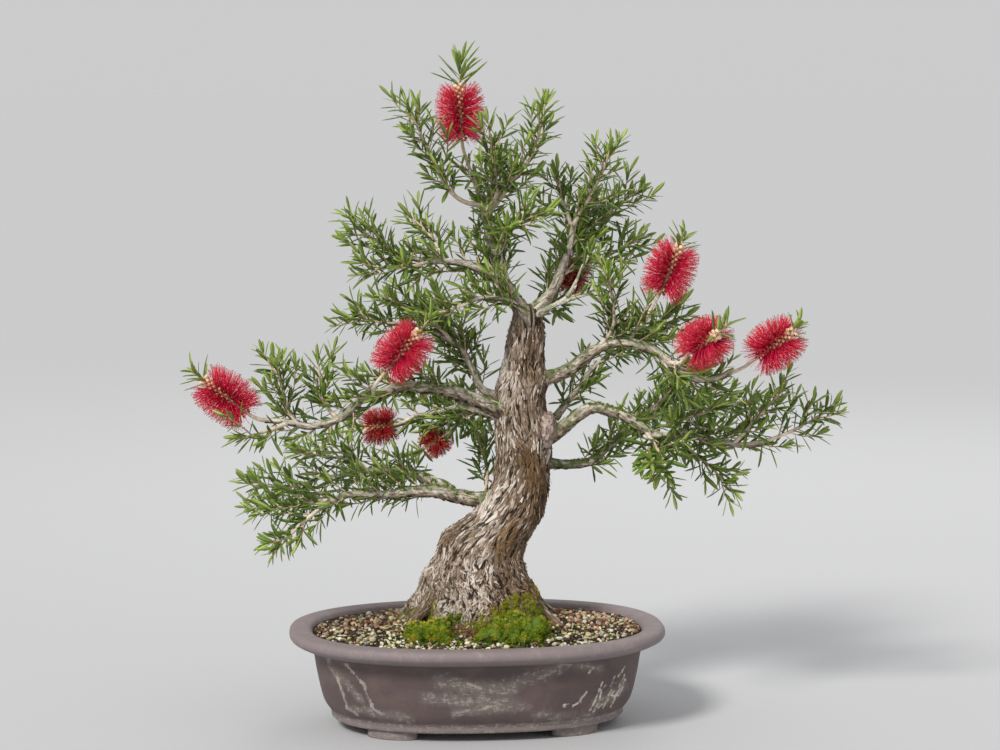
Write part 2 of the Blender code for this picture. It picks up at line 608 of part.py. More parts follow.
def trunk_ring(height, grow=0.0):
    """One ring of the trunk: roots spread low down, and flutes wind up it."""
    x, y, _, width, depth = trunk_at(height)
    low = max(0.0, min(1.0, (ROOT_TOP - height) / (ROOT_TOP - ROOT_BOTTOM)))
    buried = max(0.0, min(1.0, (height - BURIED_Z) / BURIED_RISE))
    points = []
    for side in range(TRUNK_SIDES):
        angle = math.tau * side / TRUNK_SIDES
        swell = 1.0
        for direction, strength in ROOTS:
            away = (angle - math.radians(direction) + math.pi) % math.tau - math.pi
            swell += strength * low * buried * (math.exp(-((away / ROOT_SPREAD) ** 2)) - ROOT_MEAN)
        flutes = math.sin(4 * angle + 22 * height) + 0.6 * math.sin(7 * angle - 15 * height)
        swell += FLUTE_DEPTH * flutes * buried
        points.append(turned((
            x + (width / 2 * swell + grow) * math.cos(angle),
            y + (depth / 2 * swell + grow) * math.sin(angle),
            height,
        )))
    return points


def trunk_heights():
    top = TRUNK[-1][2]
    count = round((top - STUMP_BOTTOM) / TRUNK_RING)
    return [STUMP_BOTTOM + (top - STUMP_BOTTOM) * step / count for step in range(count + 1)]


def trunk_hole(name, lowest):
    """A cutter, in a collection of its own, that leaves a gap round the foot of the trunk."""
    rings = [trunk_ring(height, STUMP_GAP) for height in trunk_heights() if height < STUMP_HOLE_TOP]
    for point in rings[0]:
        point.z = lowest
    bm, rows = loft(rings)
    split_quads(bm, rows)
    collection = new_collection(name)
    hide(object_from(name, bm, collection))
    return collection


def tube(name, points, radii, collection):
    """A tapered round limb on a curve, as a closed mesh."""
    curve = bpy.data.curves.new(name, "CURVE")
    curve.dimensions = "3D"
    curve.bevel_depth = 1.0
    curve.bevel_resolution = 1
    curve.use_fill_caps = True
    line = curve.splines.new("POLY")
    line.points.add(len(points) - 1)
    for node, place, radius in zip(line.points, points, radii):
        node.co = (*place, 1)
        node.radius = radius
    guide = bpy.data.objects.new(name, curve)
    collection.objects.link(guide)
    bpy.context.view_layer.update()
    graph = bpy.context.evaluated_depsgraph_get()
    mesh = bpy.data.meshes.new_from_object(guide.evaluated_get(graph))
    bm = bmesh.new()
    bm.from_mesh(mesh)
    bmesh.ops.remove_doubles(bm, verts=bm.verts, dist=1e-6)
    bpy.data.objects.remove(guide, do_unlink=True)
    return object_from(name, bm, collection)


def branch_radii(branch):
    thick, thin = branch.radii
    last = len(branch.route) - 1
    return [thin + (thick - thin) * (1 - step / last) ** 1.15 for step in range(last + 1)]


def make_wood(parts):
    bm, rows = loft([trunk_ring(height) for height in trunk_heights()])
    split_quads(bm, rows)
    wood = object_from("tree_wood", bm, parts, "bark")
    limbs = new_collection("limbs")
    for name, branch in BRANCHES.items():
        hide(tube(name, turned_route(branch.route), branch_radii(branch), limbs))
    for middle, radii in BURLS:
        knob = bmesh.new()
        bmesh.ops.create_icosphere(knob, subdivisions=2, radius=1.0)
        bmesh.ops.scale(knob, vec=radii, verts=knob.verts)
        bmesh.ops.translate(knob, vec=turned(middle), verts=knob.verts)
        hide(object_from("burl", knob, limbs))
    apply_boolean(wood, "UNION", limbs)
    return wood


def make_moss(name, parts):
    """A cushion that lies on the soil against the trunk."""
    (x, y), radii = MOSS[name]
    place = turned((x, y, 0))
    place.z = soil_height(place.x, place.y)
    bm = bmesh.new()
    bmesh.ops.create_uvsphere(bm, u_segments=14, v_segments=8, radius=1.0)
    bmesh.ops.scale(bm, vec=radii, verts=bm.verts)
    bmesh.ops.translate(bm, vec=place, verts=bm.verts)
    moss = object_from(name, bm, parts, "moss")
    under = new_collection(name + "_under")
    ground, _ = soil_body(rise=MOSS_LIFT)
    hide(object_from("ground", ground, under))
    apply_boolean(moss, "DIFFERENCE", under)
    apply_boolean(moss, "DIFFERENCE", trunk_hole(name + "_trunk", STUMP_BOTTOM))
    return moss


def surface_of(thing):
    """A search tree of an object's faces, with its box."""
    points = [vert.co.copy() for vert in thing.data.vertices]
    faces = [tuple(face.vertices) for face in thing.data.polygons]
    return BVHTree.FromPolygons(points, faces), box_of(points)


def box_of(points):
    low = Vector([min(point[axis] for point in points) for axis in range(3)])
    high = Vector([max(point[axis] for point in points) for axis in range(3)])
    return low, high


def boxes_meet(one, other):
    return all(one[0][axis] <= other[1][axis] and other[0][axis] <= one[1][axis] for axis in range(3))


def across_of(direction):
    """Two directions square to a third, the first as level as it can be."""
    side = direction.cross(Vector((0, 0, 1)))
    if side.length < 0.05:
        side = direction.cross(Vector((0, 1, 0)))
    side.normalize()
    return side, side.cross(direction).normalized()


def prism(start, end, half_width):
    """Corners and faces of a slim square bar round a line, for clearance tests."""
    along = (end - start).normalized()
    side, up = across_of(along)
    corners = []
    for place in (start, end):
        for a, b in ((1, 0), (0, 1), (-1, 0), (0, -1)):
            corners.append(place + (side * a + up * b) * half_width * math.sqrt(2))
    faces = [(3, 2, 1, 0), (4, 5, 6, 7)]
    faces += [(i, (i + 1) % 4, 4 + (i + 1) % 4, 4 + i) for i in range(4)]
    return corners, faces


class Blade:
    """One leaf's place: where it starts, where it points and how long it is."""

    def __init__(self, root, direction, length):
        self.root = root
        self.direction = direction.normalized()
        self.length = length
        self.side, self.up = across_of(self.direction)

    def middle(self):
        return self.root + self.direction * self.length * LEAF_WIDEST

    def belly(self):
        """Corners of the widest section: flat above, where two of them meet, with a keel below."""
        left = self.middle() - self.side * LEAF_WIDTH / 2
        return [self.middle() + self.side * LEAF_WIDTH / 2, left, left,
                self.middle() - self.up * LEAF_THICKNESS]

    def room(self, spare):
        """Four corners round the widest section, with some room to spare."""
        wide = LEAF_WIDTH / 2 + spare
        thick = LEAF_THICKNESS + spare
        return [self.middle() + self.side * wide, self.middle() + self.up * spare,
                self.middle() - self.side * wide, self.middle() - self.up * thick]

    def apex(self, spare=0.0):
        return self.root + self.direction * (self.length + spare)

    def proxy(self, spare):
        """A simple body round the leaf, from just beyond its root."""
        first = self.root + self.direction * spare
        points = [first, *self.room(spare), self.apex(spare)]
        faces = [(0, 1 + (i + 1) % 4, 1 + i) for i in range(4)]
        faces += [(5, 1 + i, 1 + (i + 1) % 4) for i in range(4)]
        return points, faces


class Space:
    """Everything made so far, and what a new leaf or twig would run into."""

    def __init__(self):
        self.taken = []

    def add(self, thing):
        self.taken.append((*surface_of(thing), thing.name))

    def meets(self, points, faces, skip=()):
        box = box_of(points)
        tree = None
        for surface, limits, name in self.taken:
            if name in skip or not boxes_meet(box, limits):
                continue
            tree = tree or BVHTree.FromPolygons(points, faces)
            if tree.overlap(surface):
                return True
        return False


class Path:
    """A smooth line through a few points, read by length."""

    def __init__(self, points, smooth=4):
        self.points = self.rounded(points, smooth) if len(points) > 2 and smooth > 1 else list(points)
        self.marks = [0.0]
        for a, b in zip(self.points, self.points[1:]):
            self.marks.append(self.marks[-1] + (b - a).length)
        self.length = self.marks[-1]

    @staticmethod
    def rounded(points, smooth):
        ends = [points[0] * 2 - points[1], *points, points[-1] * 2 - points[-2]]
        line = []
        for a, b, c, d in zip(ends, ends[1:], ends[2:], ends[3:]):
            for step in range(smooth):
                t = step / smooth
                line.append(0.5 * (
                    2 * b + (c - a) * t + (2 * a - 5 * b + 4 * c - d) * t * t
                    + (3 * b - a - 3 * c + d) * t * t * t
                ))
        return [*line, points[-1]]

    def at(self, length):
        """The point and the direction at a length along the line."""
        length = min(max(length, 0.0), self.length)
        ahead = (i for i, mark in enumerate(self.marks[1:]) if mark >= length - 1e-9)
        step = next(ahead, len(self.marks) - 2)
        a, b = self.points[step], self.points[step + 1]
        span = self.marks[step + 1] - self.marks[step]
        return a.lerp(b, (length - self.marks[step]) / span), (b - a).normalized()


def make_brush(name, start, end, row_count, parts, space):
    """A flower brush: a bored core with a spike raised from each face of its side."""
    axis = (end - start).normalized()
    side, up = across_of(axis)
    length = (end - start).length
    rng = random.Random(name)

    def ring(radius, place, turn):
        return [
            start + axis * place + (side * math.cos(angle) + up * math.sin(angle)) * radius
            for angle in (math.tau * i / BRUSH_SIDES + turn for i in range(BRUSH_SIDES))
        ]

    rings = []
    for row in range(row_count + 1):
        rings.append(ring(BRUSH_CORE, length * row / row_count, ROW_TURN * row))
    last_turn = ROW_TURN * row_count
    rings += [ring(BRUSH_BORE, length, last_turn), ring(BRUSH_BORE, 0, last_turn)]
    bm, rows = loft(rings)
    caps = [face for face in bm.faces if len(face.verts) == BRUSH_SIDES]
    bmesh.ops.delete(bm, geom=caps, context="FACES_ONLY")
    rims = [edge for edge in bm.edges if edge.is_boundary]
    bmesh.ops.bridge_loops(bm, edges=rims)
    for row, faces in enumerate(rows[:row_count]):
        share = (row + 0.5) / row_count
        lean = BRUSH_LEAN[0] + (BRUSH_LEAN[1] - BRUSH_LEAN[0]) * share
        reach = BRUSH_REACH * (1 - 0.22 * abs(2 * share - 1) ** 2.5) - BRUSH_CORE
        for face in faces:
            root = face.calc_center_median()
            out = root - start - axis * (root - start).dot(axis)
            out.normalize()
            wander = Vector([rng.uniform(-SPIKE_WANDER, SPIKE_WANDER) for _ in range(3)])
            direction = (out * math.cos(lean) + axis * math.sin(lean) + wander).normalized()
            spike = reach * rng.uniform(0.86, 1.0)
            while spike > SPIKE_LEAST:
                if not space.meets(*prism(root, root + direction * spike, SPIKE_HALF)):
                    break
                spike *= 0.8
            apex = bmesh.ops.poke(bm, faces=[face])["verts"][0]
            apex.co = root + direction * spike
    return object_from(name, bm, parts, "brush")


class Sprig:
    """One spray: a twig grown from its base face, with leaves and side shoots pulled from its sides."""

    def __init__(self, name, space):
        self.space = space
        self.bm = bmesh.new()
        self.rng = random.Random(name)
        self.made = []

    def crosses(self, faces):
        """Whether these faces cut another piece, or the rest of the spray."""
        triangles = shrunk_triangles(faces)
        points = [point for triangle in triangles for point in triangle]
        corners = [(i, i + 1, i + 2) for i in range(0, len(points), 3)]
        if self.space.meets(points, corners):
            return True
        fresh = BVHTree.FromPolygons(points, corners)
        rest = [point for triangle in self.made for point in triangle]
        known = BVHTree.FromPolygons(rest, [(i, i + 1, i + 2) for i in range(0, len(rest), 3)])
        folded = any(one != other for one, other in fresh.overlap(fresh))
        return folded or bool(fresh.overlap(known))

    def leaf(self, side, root, outward, along, angle):
        """Pulls one leaf out of a side of the twig and bends it until it is clear of everything."""
        flat = [vert.co.copy() for vert in side.verts]
        end, walls = extrude_to(self.bm, side, flat)
        belly = list(end.verts)
        apex = bmesh.ops.poke(self.bm, faces=[end])["verts"][0]
        walls = bmesh.ops.triangulate(self.bm, faces=walls)["faces"]
        faces = [*walls, *apex.link_faces]
        for attempt in range(LEAF_TRIES):
            tilt = angle + self.rng.uniform(-0.12, 0.12)
            stray = 0.14 + 0.02 * attempt
            bend = Vector([self.rng.uniform(-stray, stray) for _ in range(3)])
            direction = outward * math.sin(tilt) + along * math.cos(tilt) + bend + Vector((0, 0, 0.10))
            length = LEAF_LENGTH * self.rng.uniform(0.82, 1.08)
            blade = Blade(root, direction, length * (1 - 0.03 * attempt))
            corners = blade.belly()
            shift = min(range(4), key=lambda s: sum(
                (flat[i] - corners[(i + s) % 4]).length for i in range(4)
            ))
            for i, vert in enumerate(belly):
                vert.co = corners[(i + shift) % 4]
            apex.co = blade.apex()
            if not self.space.meets(*blade.proxy(CLEARANCE)) and not self.crosses(faces):
                self.made += shrunk_triangles(faces)
                return
        for share in (1.0, 0.5, 0.25, 0.1):
            for vert, corner in zip(belly, flat):
                vert.co = root.lerp(corner, 0.6) + outward * BUD_LENGTH * 0.4 * share
            apex.co = root + outward * BUD_LENGTH * share
            if not self.crosses(faces):
                break
        self.made += shrunk_triangles(faces)

    def twig(self, face, centre, direction, path, stops, radii):
        """Grows a twig along a path. Returns each whorl's sides, middle, direction and share of the way."""
        whorls = []
        for (length, is_whorl), radius in zip(stops, radii):
            place, along = path.at(length)
            turn = direction.rotation_difference(along)
            spin = Quaternion(along, WHORL_TURN if is_whorl else 0.0)
            corners = []
            for vert in face.verts:
                arm = spin @ (turn @ (vert.co - centre))
                arm -= along * arm.dot(along)
                corners.append(place + arm.normalized() * radius)
            face, sides = extrude_to(self.bm, face, corners)
            self.made += shrunk_triangles(sides)
            if is_whorl:
                whorls.append((sides, (centre + place) / 2, along, length / path.length))
            centre, direction = place, along
        tip = bmesh.ops.poke(self.bm, faces=[face])["verts"][0]
        tip.co = centre + direction * radii[-1] * TWIG_POINT
        self.made += shrunk_triangles(tip.link_faces)
        return whorls

    @staticmethod
    def stops_between(start, bare_end, end):
        """Ring places along a twig, and whether each one ends the short length that a whorl grows from."""
        stops = []
        bare = max(1, round((bare_end - start) / BARE_STEP))
        for step in range(1, bare + 1):
            stops.append((start + (bare_end - start) * step / bare, False))
        count = max(1, round((end - bare_end) / WHORL_SPACING))
        spacing = (end - WHORL_LENGTH - bare_end) / count
        for step in range(count + 1):
            place = bare_end + spacing * step
            if step:
                stops.append((place, False))
            stops.append((place + WHORL_LENGTH, True))
        return stops

    def dress(self, whorls, shoots):
        """Grows side shoots from some of the whorls, then gives every whorl its leaves."""
        last = len(whorls) - 1
        wanted = {round((i + 0.6) * last / max(1, shoots)) for i in range(shoots)} - {last}
        free = []
        for index, (sides, middle, along, share) in enumerate(whorls):
            order = list(sides)
            self.rng.shuffle(order)
            if index in wanted:
                grown = self.shoot(order[0], middle, along)
                if grown:
                    order = order[1:]
                    free += grown
            count = len(sides) if index == last else LEAVES_IN_WHORL
            free.append((order[:count], middle, along, share))
        for sides, middle, along, share in free:
            angle = LEAF_ANGLE[1] + (LEAF_ANGLE[0] - LEAF_ANGLE[1]) * share
            for side in sides:
                root = side.calc_center_median()
                outward = root - middle
                outward -= along * outward.dot(along)
                self.leaf(side, root, outward.normalized(), along, angle)

    def shoot(self, side, middle, along):
        """Grows a short side shoot from one side of a whorl, if there is room, and returns its whorls."""
        root = side.calc_center_median()
        outward = root - middle
        outward -= along * outward.dot(along)
        outward.normalize()
        known = [point for triangle in self.made for point in triangle]
        rest = BVHTree.FromPolygons(known, [(i, i + 1, i + 2) for i in range(0, len(known), 3)])
        for _ in range(SHOOT_TRIES):
            length = self.rng.uniform(*SHOOT_LENGTH)
            bend = Vector([self.rng.uniform(-0.3, 0.3) for _ in range(3)])
            heading = outward * math.sin(SHOOT_ANGLE) + along * math.cos(SHOOT_ANGLE) + bend
            heading.normalize()
            lift = Vector((0, 0, 0.12 * length))
            path = Path([root, root + heading * length * 0.5, root + heading * length + lift])
            outer = path.at(path.length)[0] + heading * TIP_LENGTH
            beyond_twig = BVHTree.FromPolygons(*prism(path.at(CHECK_STEP)[0], outer, SHOOT_HALF))
            if beyond_twig.overlap(rest):
                continue
            if not self.space.meets(*prism(root, outer, SHOOT_HALF)):
                break
        else:
            return []
        stops = self.stops_between(0.0, path.length * SHOOT_BARE, path.length)
        whorls = self.twig(side, root, heading, path, stops, [TWIG_RADIUS[1]] * len(stops))
        return [(sides[:LEAVES_IN_WHORL], *rest_of) for sides, *rest_of in whorls[:-1]] + whorls[-1:]


def shrunk_triangles(faces):
    """The faces as triangles drawn in a little, so that neighbours don't touch but crossing ones do."""
    found = []
    for face in faces:
        corners = [vert.co for vert in face.verts]
        for i in range(1, len(corners) - 1):
            triangle = (corners[0], corners[i], corners[i + 1])
            middle = (triangle[0] + triangle[1] + triangle[2]) / 3
            if (triangle[1] - triangle[0]).cross(triangle[2] - triangle[0]).length > 1e-12:
                found.append([middle.lerp(corner, SHRINK) for corner in triangle])
    return found


def seat_of(path, radius, bark):
    """How far along its path a twig's base ring first stands clear of the bark."""
    seat = 0.0
    length = 0.0
    while length < min(0.045, path.length * 0.6):
        place, along = path.at(length)
        side, up = across_of(along)
        ring = [place] + [
            place + (side * math.cos(a) + up * math.sin(a)) * radius
            for a in (math.tau * i / 8 for i in range(8))
        ]
        for point in ring:
            near, normal, _, distance = bark.find_nearest(point)
            if distance < GAP * 1.3 or (point - near).dot(normal) < 0:
                seat = length
                break
        length += 0.0001
    return seat + 0.0001


def is_clear(path, seat, radius, space, skip):
    """Whether a twig on this path meets nothing but the pieces to skip, and the bark at its foot."""
    length = seat
    while length < path.length:
        start, end = path.at(length)[0], path.at(length + CHECK_STEP)[0]
        if length + CHECK_STEP > path.length:
            end = path.points[-1] + path.at(path.length)[1] * TIP_LENGTH
        at_foot = ("tree_wood",) if length < seat + CHECK_STEP else ()
        if space.meets(*prism(start, end, radius * 0.8 + CLEARANCE), skip + at_foot):
            return False
        length += CHECK_STEP * 0.8
    return True


def bent_clear(points, radius, bark, space, skip, fixed, rng):
    """The smooth path through these points, bent a little to the side until it runs into nothing."""
    for attempt in range(BEND_TRIES):
        reach = BEND_STEP * attempt
        shifted = list(points)
        for index in range(1, len(points)):
            if attempt and index not in fixed:
                shifted[index] = points[index] + Vector([rng.uniform(-reach, reach) for _ in range(3)])
        path = Path(shifted)
        seat = seat_of(path, radius, bark)
        if is_clear(path, seat, radius, space, skip):
            break
    return path, seat


def branch_point(spray):
    """Where a spray leaves its branch, and the branch's radius there."""
    branch = BRANCHES[spray.parent]
    path = Path(turned_route(branch.route))
    radii = branch_radii(branch)
    place, _ = path.at(path.length * spray.along)
    radius = radii[min(len(radii) - 1, round(spray.along * (len(radii) - 1)))]
    return place, radius


def brush_ends(spray):
    """Where the flower brush starts and ends on its stem."""
    start, end = turned(spray.route[spray.bloom]), turned(spray.route[spray.bloom + 1])
    axis = (end - start).normalized()
    return start + axis * BRUSH_END_GAP, end - axis * BRUSH_END_GAP


def brush_name(name):
    return "flower_" + name.replace("_brush", "").replace("brush_", "")


def make_spray(name, spray, parts, space, bark):
    """One spray, clear of all that the space holds. One that ends a branch starts about as thick as it."""
    first, limb_radius = branch_point(spray)
    thick = TWIG_RADIUS[0]
    if spray.along >= 0.9:
        thick = max(thick, min(THICKEST_TWIG, limb_radius * 0.72))
    points = [first, *turned_route(spray.route)]
    skip = (name,)
    fixed = ()
    if spray.bloom is not None:
        skip = (name, brush_name(name))
        fixed = (spray.bloom + 1, spray.bloom + 2)
    rng = random.Random(name + "_bend")
    path, seat = bent_clear(points, thick, bark, space, skip, fixed, rng)
    sprig = Sprig(name, space)
    start, along = path.at(seat)
    side, up = across_of(along)
    base = [start + (side * a + up * b) * thick for a, b in ((1, 0), (0, 1), (-1, 0), (0, -1))]
    face = sprig.bm.faces.new([sprig.bm.verts.new(point) for point in base])
    sprig.bm.faces.new([sprig.bm.verts.new(point) for point in reversed(base)])
    if spray.bloom is None:
        bare_end = seat + max(0.012, (path.length - seat) * spray.bare)
        stops = sprig.stops_between(seat, bare_end, path.length)
        slim = (TWIG_RADIUS[1] - thick) / (path.length - seat)
        radii = [thick + slim * (length - seat) for length, _ in stops]
        whorls = sprig.twig(face, start, along, path, stops, radii)
    else:
        whorls = brush_stem(sprig, face, start, along, spray, path, seat, thick)
    sprig.dress(whorls, spray.shoots)
    bmesh.ops.remove_doubles(sprig.bm, verts=sprig.bm.verts, dist=1e-6)
    bmesh.ops.triangulate(sprig.bm, faces=sprig.bm.faces, quad_method="FIXED")
    space.add(object_from(name, sprig.bm, parts, "leaf"))


def brush_stem(sprig, face, start, along, spray, path, seat, thick):
    """A stem that runs straight through its flower brush and on into a leafy tip."""
    low, high = turned(spray.route[spray.bloom]), turned(spray.route[spray.bloom + 1])
    before = [path.at(seat)[0]] + turned_route(spray.route[:spray.bloom]) + [low]
    first = Path(before)
    bare_end = max(CHECK_STEP, first.length * spray.bare)
    stops = sprig.stops_between(0.0, bare_end, first.length)
    stops = [stop for stop in stops if stop[0] < first.length - CHECK_STEP] or [(first.length / 2, False)]
    radii = [thick + (BRUSH_STEM - thick) * stop[0] / first.length for stop in stops]
    axis = (high - low).normalized()
    tip = turned(spray.route[-1])
    straight = Path([low, low + axis * 0.001, high, tip], smooth=1)
    whole = Path([*first.points[:-1], *straight.points], smooth=1)
    through = first.length
    end = whole.length
    span = (high - low).length
    stops += [(through, False), (through + span, False), (through + span + WHORL_LENGTH, True)]
    radii += [BRUSH_STEM, BRUSH_STEM, BRUSH_STEM]
    if end - through - span > 0.012:
        stops += [(end - WHORL_LENGTH - 0.001, False), (end - 0.001, True)]
        radii += [BRUSH_STEM * 0.9, BRUSH_STEM * 0.8]
    return sprig.twig(face, start, along, whole, stops, radii)


def stand_on_origin(parts, name):
    """Parents every piece to an empty that puts the middle of the underside of its box on the origin."""
    corners = [vert.co for thing in parts.objects for vert in thing.data.vertices]
    low, high = box_of(corners)
    holder = bpy.data.objects.new(name, None)
    bpy.context.scene.collection.objects.link(holder)
    holder.location = (-(low.x + high.x) / 2, -(low.y + high.y) / 2, -low.z)
    for thing in parts.objects:
        thing.parent = holder


def main():
    clear_scene()
    parts = new_collection("bottlebrush_bonsai")
    make_pot(parts)
    make_drain_mesh("drain_mesh_left", -1, parts)
    make_drain_mesh("drain_mesh_right", 1, parts)
    wood = make_wood(parts)
    space = Space()
    space.add(wood)
    space.add(make_soil(parts))
    for name in MOSS:
        space.add(make_moss(name, parts))
    for name, spray in SPRAYS.items():
        if spray.bloom is not None:
            start, end = brush_ends(spray)
            rows = REAR_BRUSH_ROWS if name.startswith("rear") else BRUSH_ROWS
            space.add(make_brush(brush_name(name), start, end, rows, parts, space))
    bark, _ = surface_of(wood)
    for name, spray in SPRAYS.items():
        make_spray(name, spray, parts, space, bark)
    stand_on_origin(parts, "bonsai_stand")


main()
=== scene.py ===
"""Looks of the bottlebrush bonsai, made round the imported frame.

Lengths are in metres. The tree's points are given in its front view, and
`placed` turns and shifts them into the frame. Each class makes the pieces of
one sub-assembly and dresses them.
"""

import json
import logging
import math
from dataclasses import dataclass, field
from enum import Enum
from random import Random
from typing import Any, Iterator, Sequence

import bpy
import numpy as np
from mathutils import Matrix, Vector, noise

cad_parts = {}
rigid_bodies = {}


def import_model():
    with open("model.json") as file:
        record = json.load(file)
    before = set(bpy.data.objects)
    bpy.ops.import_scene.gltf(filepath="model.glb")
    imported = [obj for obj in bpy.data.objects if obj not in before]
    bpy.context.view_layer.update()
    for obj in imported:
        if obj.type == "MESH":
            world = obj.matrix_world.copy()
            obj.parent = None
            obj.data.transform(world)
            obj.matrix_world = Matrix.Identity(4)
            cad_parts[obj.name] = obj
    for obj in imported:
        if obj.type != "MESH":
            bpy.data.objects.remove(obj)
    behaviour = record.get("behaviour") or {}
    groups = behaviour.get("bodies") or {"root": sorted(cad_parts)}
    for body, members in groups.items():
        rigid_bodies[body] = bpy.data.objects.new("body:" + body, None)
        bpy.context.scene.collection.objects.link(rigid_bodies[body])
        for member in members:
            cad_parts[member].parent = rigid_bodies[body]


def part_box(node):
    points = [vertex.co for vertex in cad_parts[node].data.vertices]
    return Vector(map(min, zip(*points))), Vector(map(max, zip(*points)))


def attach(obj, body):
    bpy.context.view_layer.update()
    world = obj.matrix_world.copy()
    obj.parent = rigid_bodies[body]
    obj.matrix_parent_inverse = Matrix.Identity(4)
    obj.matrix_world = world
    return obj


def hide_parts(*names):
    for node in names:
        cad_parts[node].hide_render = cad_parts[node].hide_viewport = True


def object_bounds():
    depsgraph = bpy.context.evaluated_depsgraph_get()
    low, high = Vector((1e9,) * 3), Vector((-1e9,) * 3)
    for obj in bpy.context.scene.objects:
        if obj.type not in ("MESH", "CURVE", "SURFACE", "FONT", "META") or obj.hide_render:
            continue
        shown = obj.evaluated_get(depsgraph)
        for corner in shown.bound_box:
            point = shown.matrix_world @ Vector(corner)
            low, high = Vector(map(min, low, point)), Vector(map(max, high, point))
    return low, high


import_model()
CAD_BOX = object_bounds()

LOG = logging.getLogger("bonsai")

Pair = tuple[float, float]
Point = tuple[float, float, float]
Colour = tuple[float, float, float]
Array = np.ndarray
Thing = bpy.types.Object
Finish = bpy.types.Material

MILLIMETRE = 0.001
GOLDEN = math.radians(137.5)
TREE_TURN = math.radians(-6)
CAMERA = (0.0249, -3.0, 0.6944)
POT_LOW, POT_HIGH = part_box("pot")
SHIFT = np.array([(POT_LOW.x + POT_HIGH.x) / 2, (POT_LOW.y + POT_HIGH.y) / 2, 0.0])
# Half the length of the innermost ring of the pot and of the soil, and how far out the drain holes are.
CORE_HALF, DRAIN_X = 0.06, 0.075
# How far to each side a line's direction is read.
READ_STEP = 0.002
# How fast each finer layer of the noise fades, and how much finer it is.
NOISE_FADE, NOISE_FINER = 0.9, 2.1
SCREEN_GAMMA = 2.2


@dataclass(frozen=True)
class Branch:
    """A limb: its radius at base and tip, and the points that it grows through, all in millimetres."""

    radii: Pair
    route: Sequence[Point]

    def line(self, smooth: int = 6) -> "Line":
        """The line that it grows along."""
        return Line.through(placed(self.route, MILLIMETRE), smooth)

    def radius(self, shares: Any) -> Array:
        """Its radius at some shares of its length."""
        thick, thin = np.array(self.radii) / 1000
        return thin + (thick - thin) * np.clip(1 - shares, 0, 1) ** 1.15

    def collared(self, lengths: Any, length: float) -> Array:
        """Its radius at some lengths, swollen into a collar at the trunk."""
        return self.radius(lengths / length) * (0.88 + 0.47 * hump(lengths, 0.022))

    def skin(self, step: float, sides: int, wider: float = 1.0) -> tuple["Line", Array, Array, Array]:
        """Its line, and the lengths, radii and points of rings round it, about a step apart."""
        line = self.line()
        lengths = np.linspace(0.0, line.length, max(8, round(line.length / step)))
        radii = self.collared(lengths, line.length)
        return line, lengths, radii, line.rings(lengths, radii * wider, sides)


@dataclass(frozen=True)
class Spray:
    """A leafy stem: its branch, how far along it starts, its bare share, its route and its flower's first point."""

    parent: str
    along: float
    bare: float
    route: Sequence[Point]
    bloom: int | None = None

    def stem(self) -> tuple["Line", float, float]:
        """Its line, and between which lengths its flower sits. Both are its end where it has none."""
        parent = BRANCHES[self.parent].line(4)
        points = np.vstack([parent.at(parent.length * self.along), placed(self.route, MILLIMETRE)])
        if self.bloom is None:
            line = Line.through(points, 4)
            return line, line.length, line.length
        start, end = self.bloom + 1, self.bloom + 2
        before = Line.through(points[:end], 4)
        line = Line.cornered(np.vstack([before.points, points[end:]]))
        return line, before.length, before.length + float(np.linalg.norm(points[end] - points[start]))


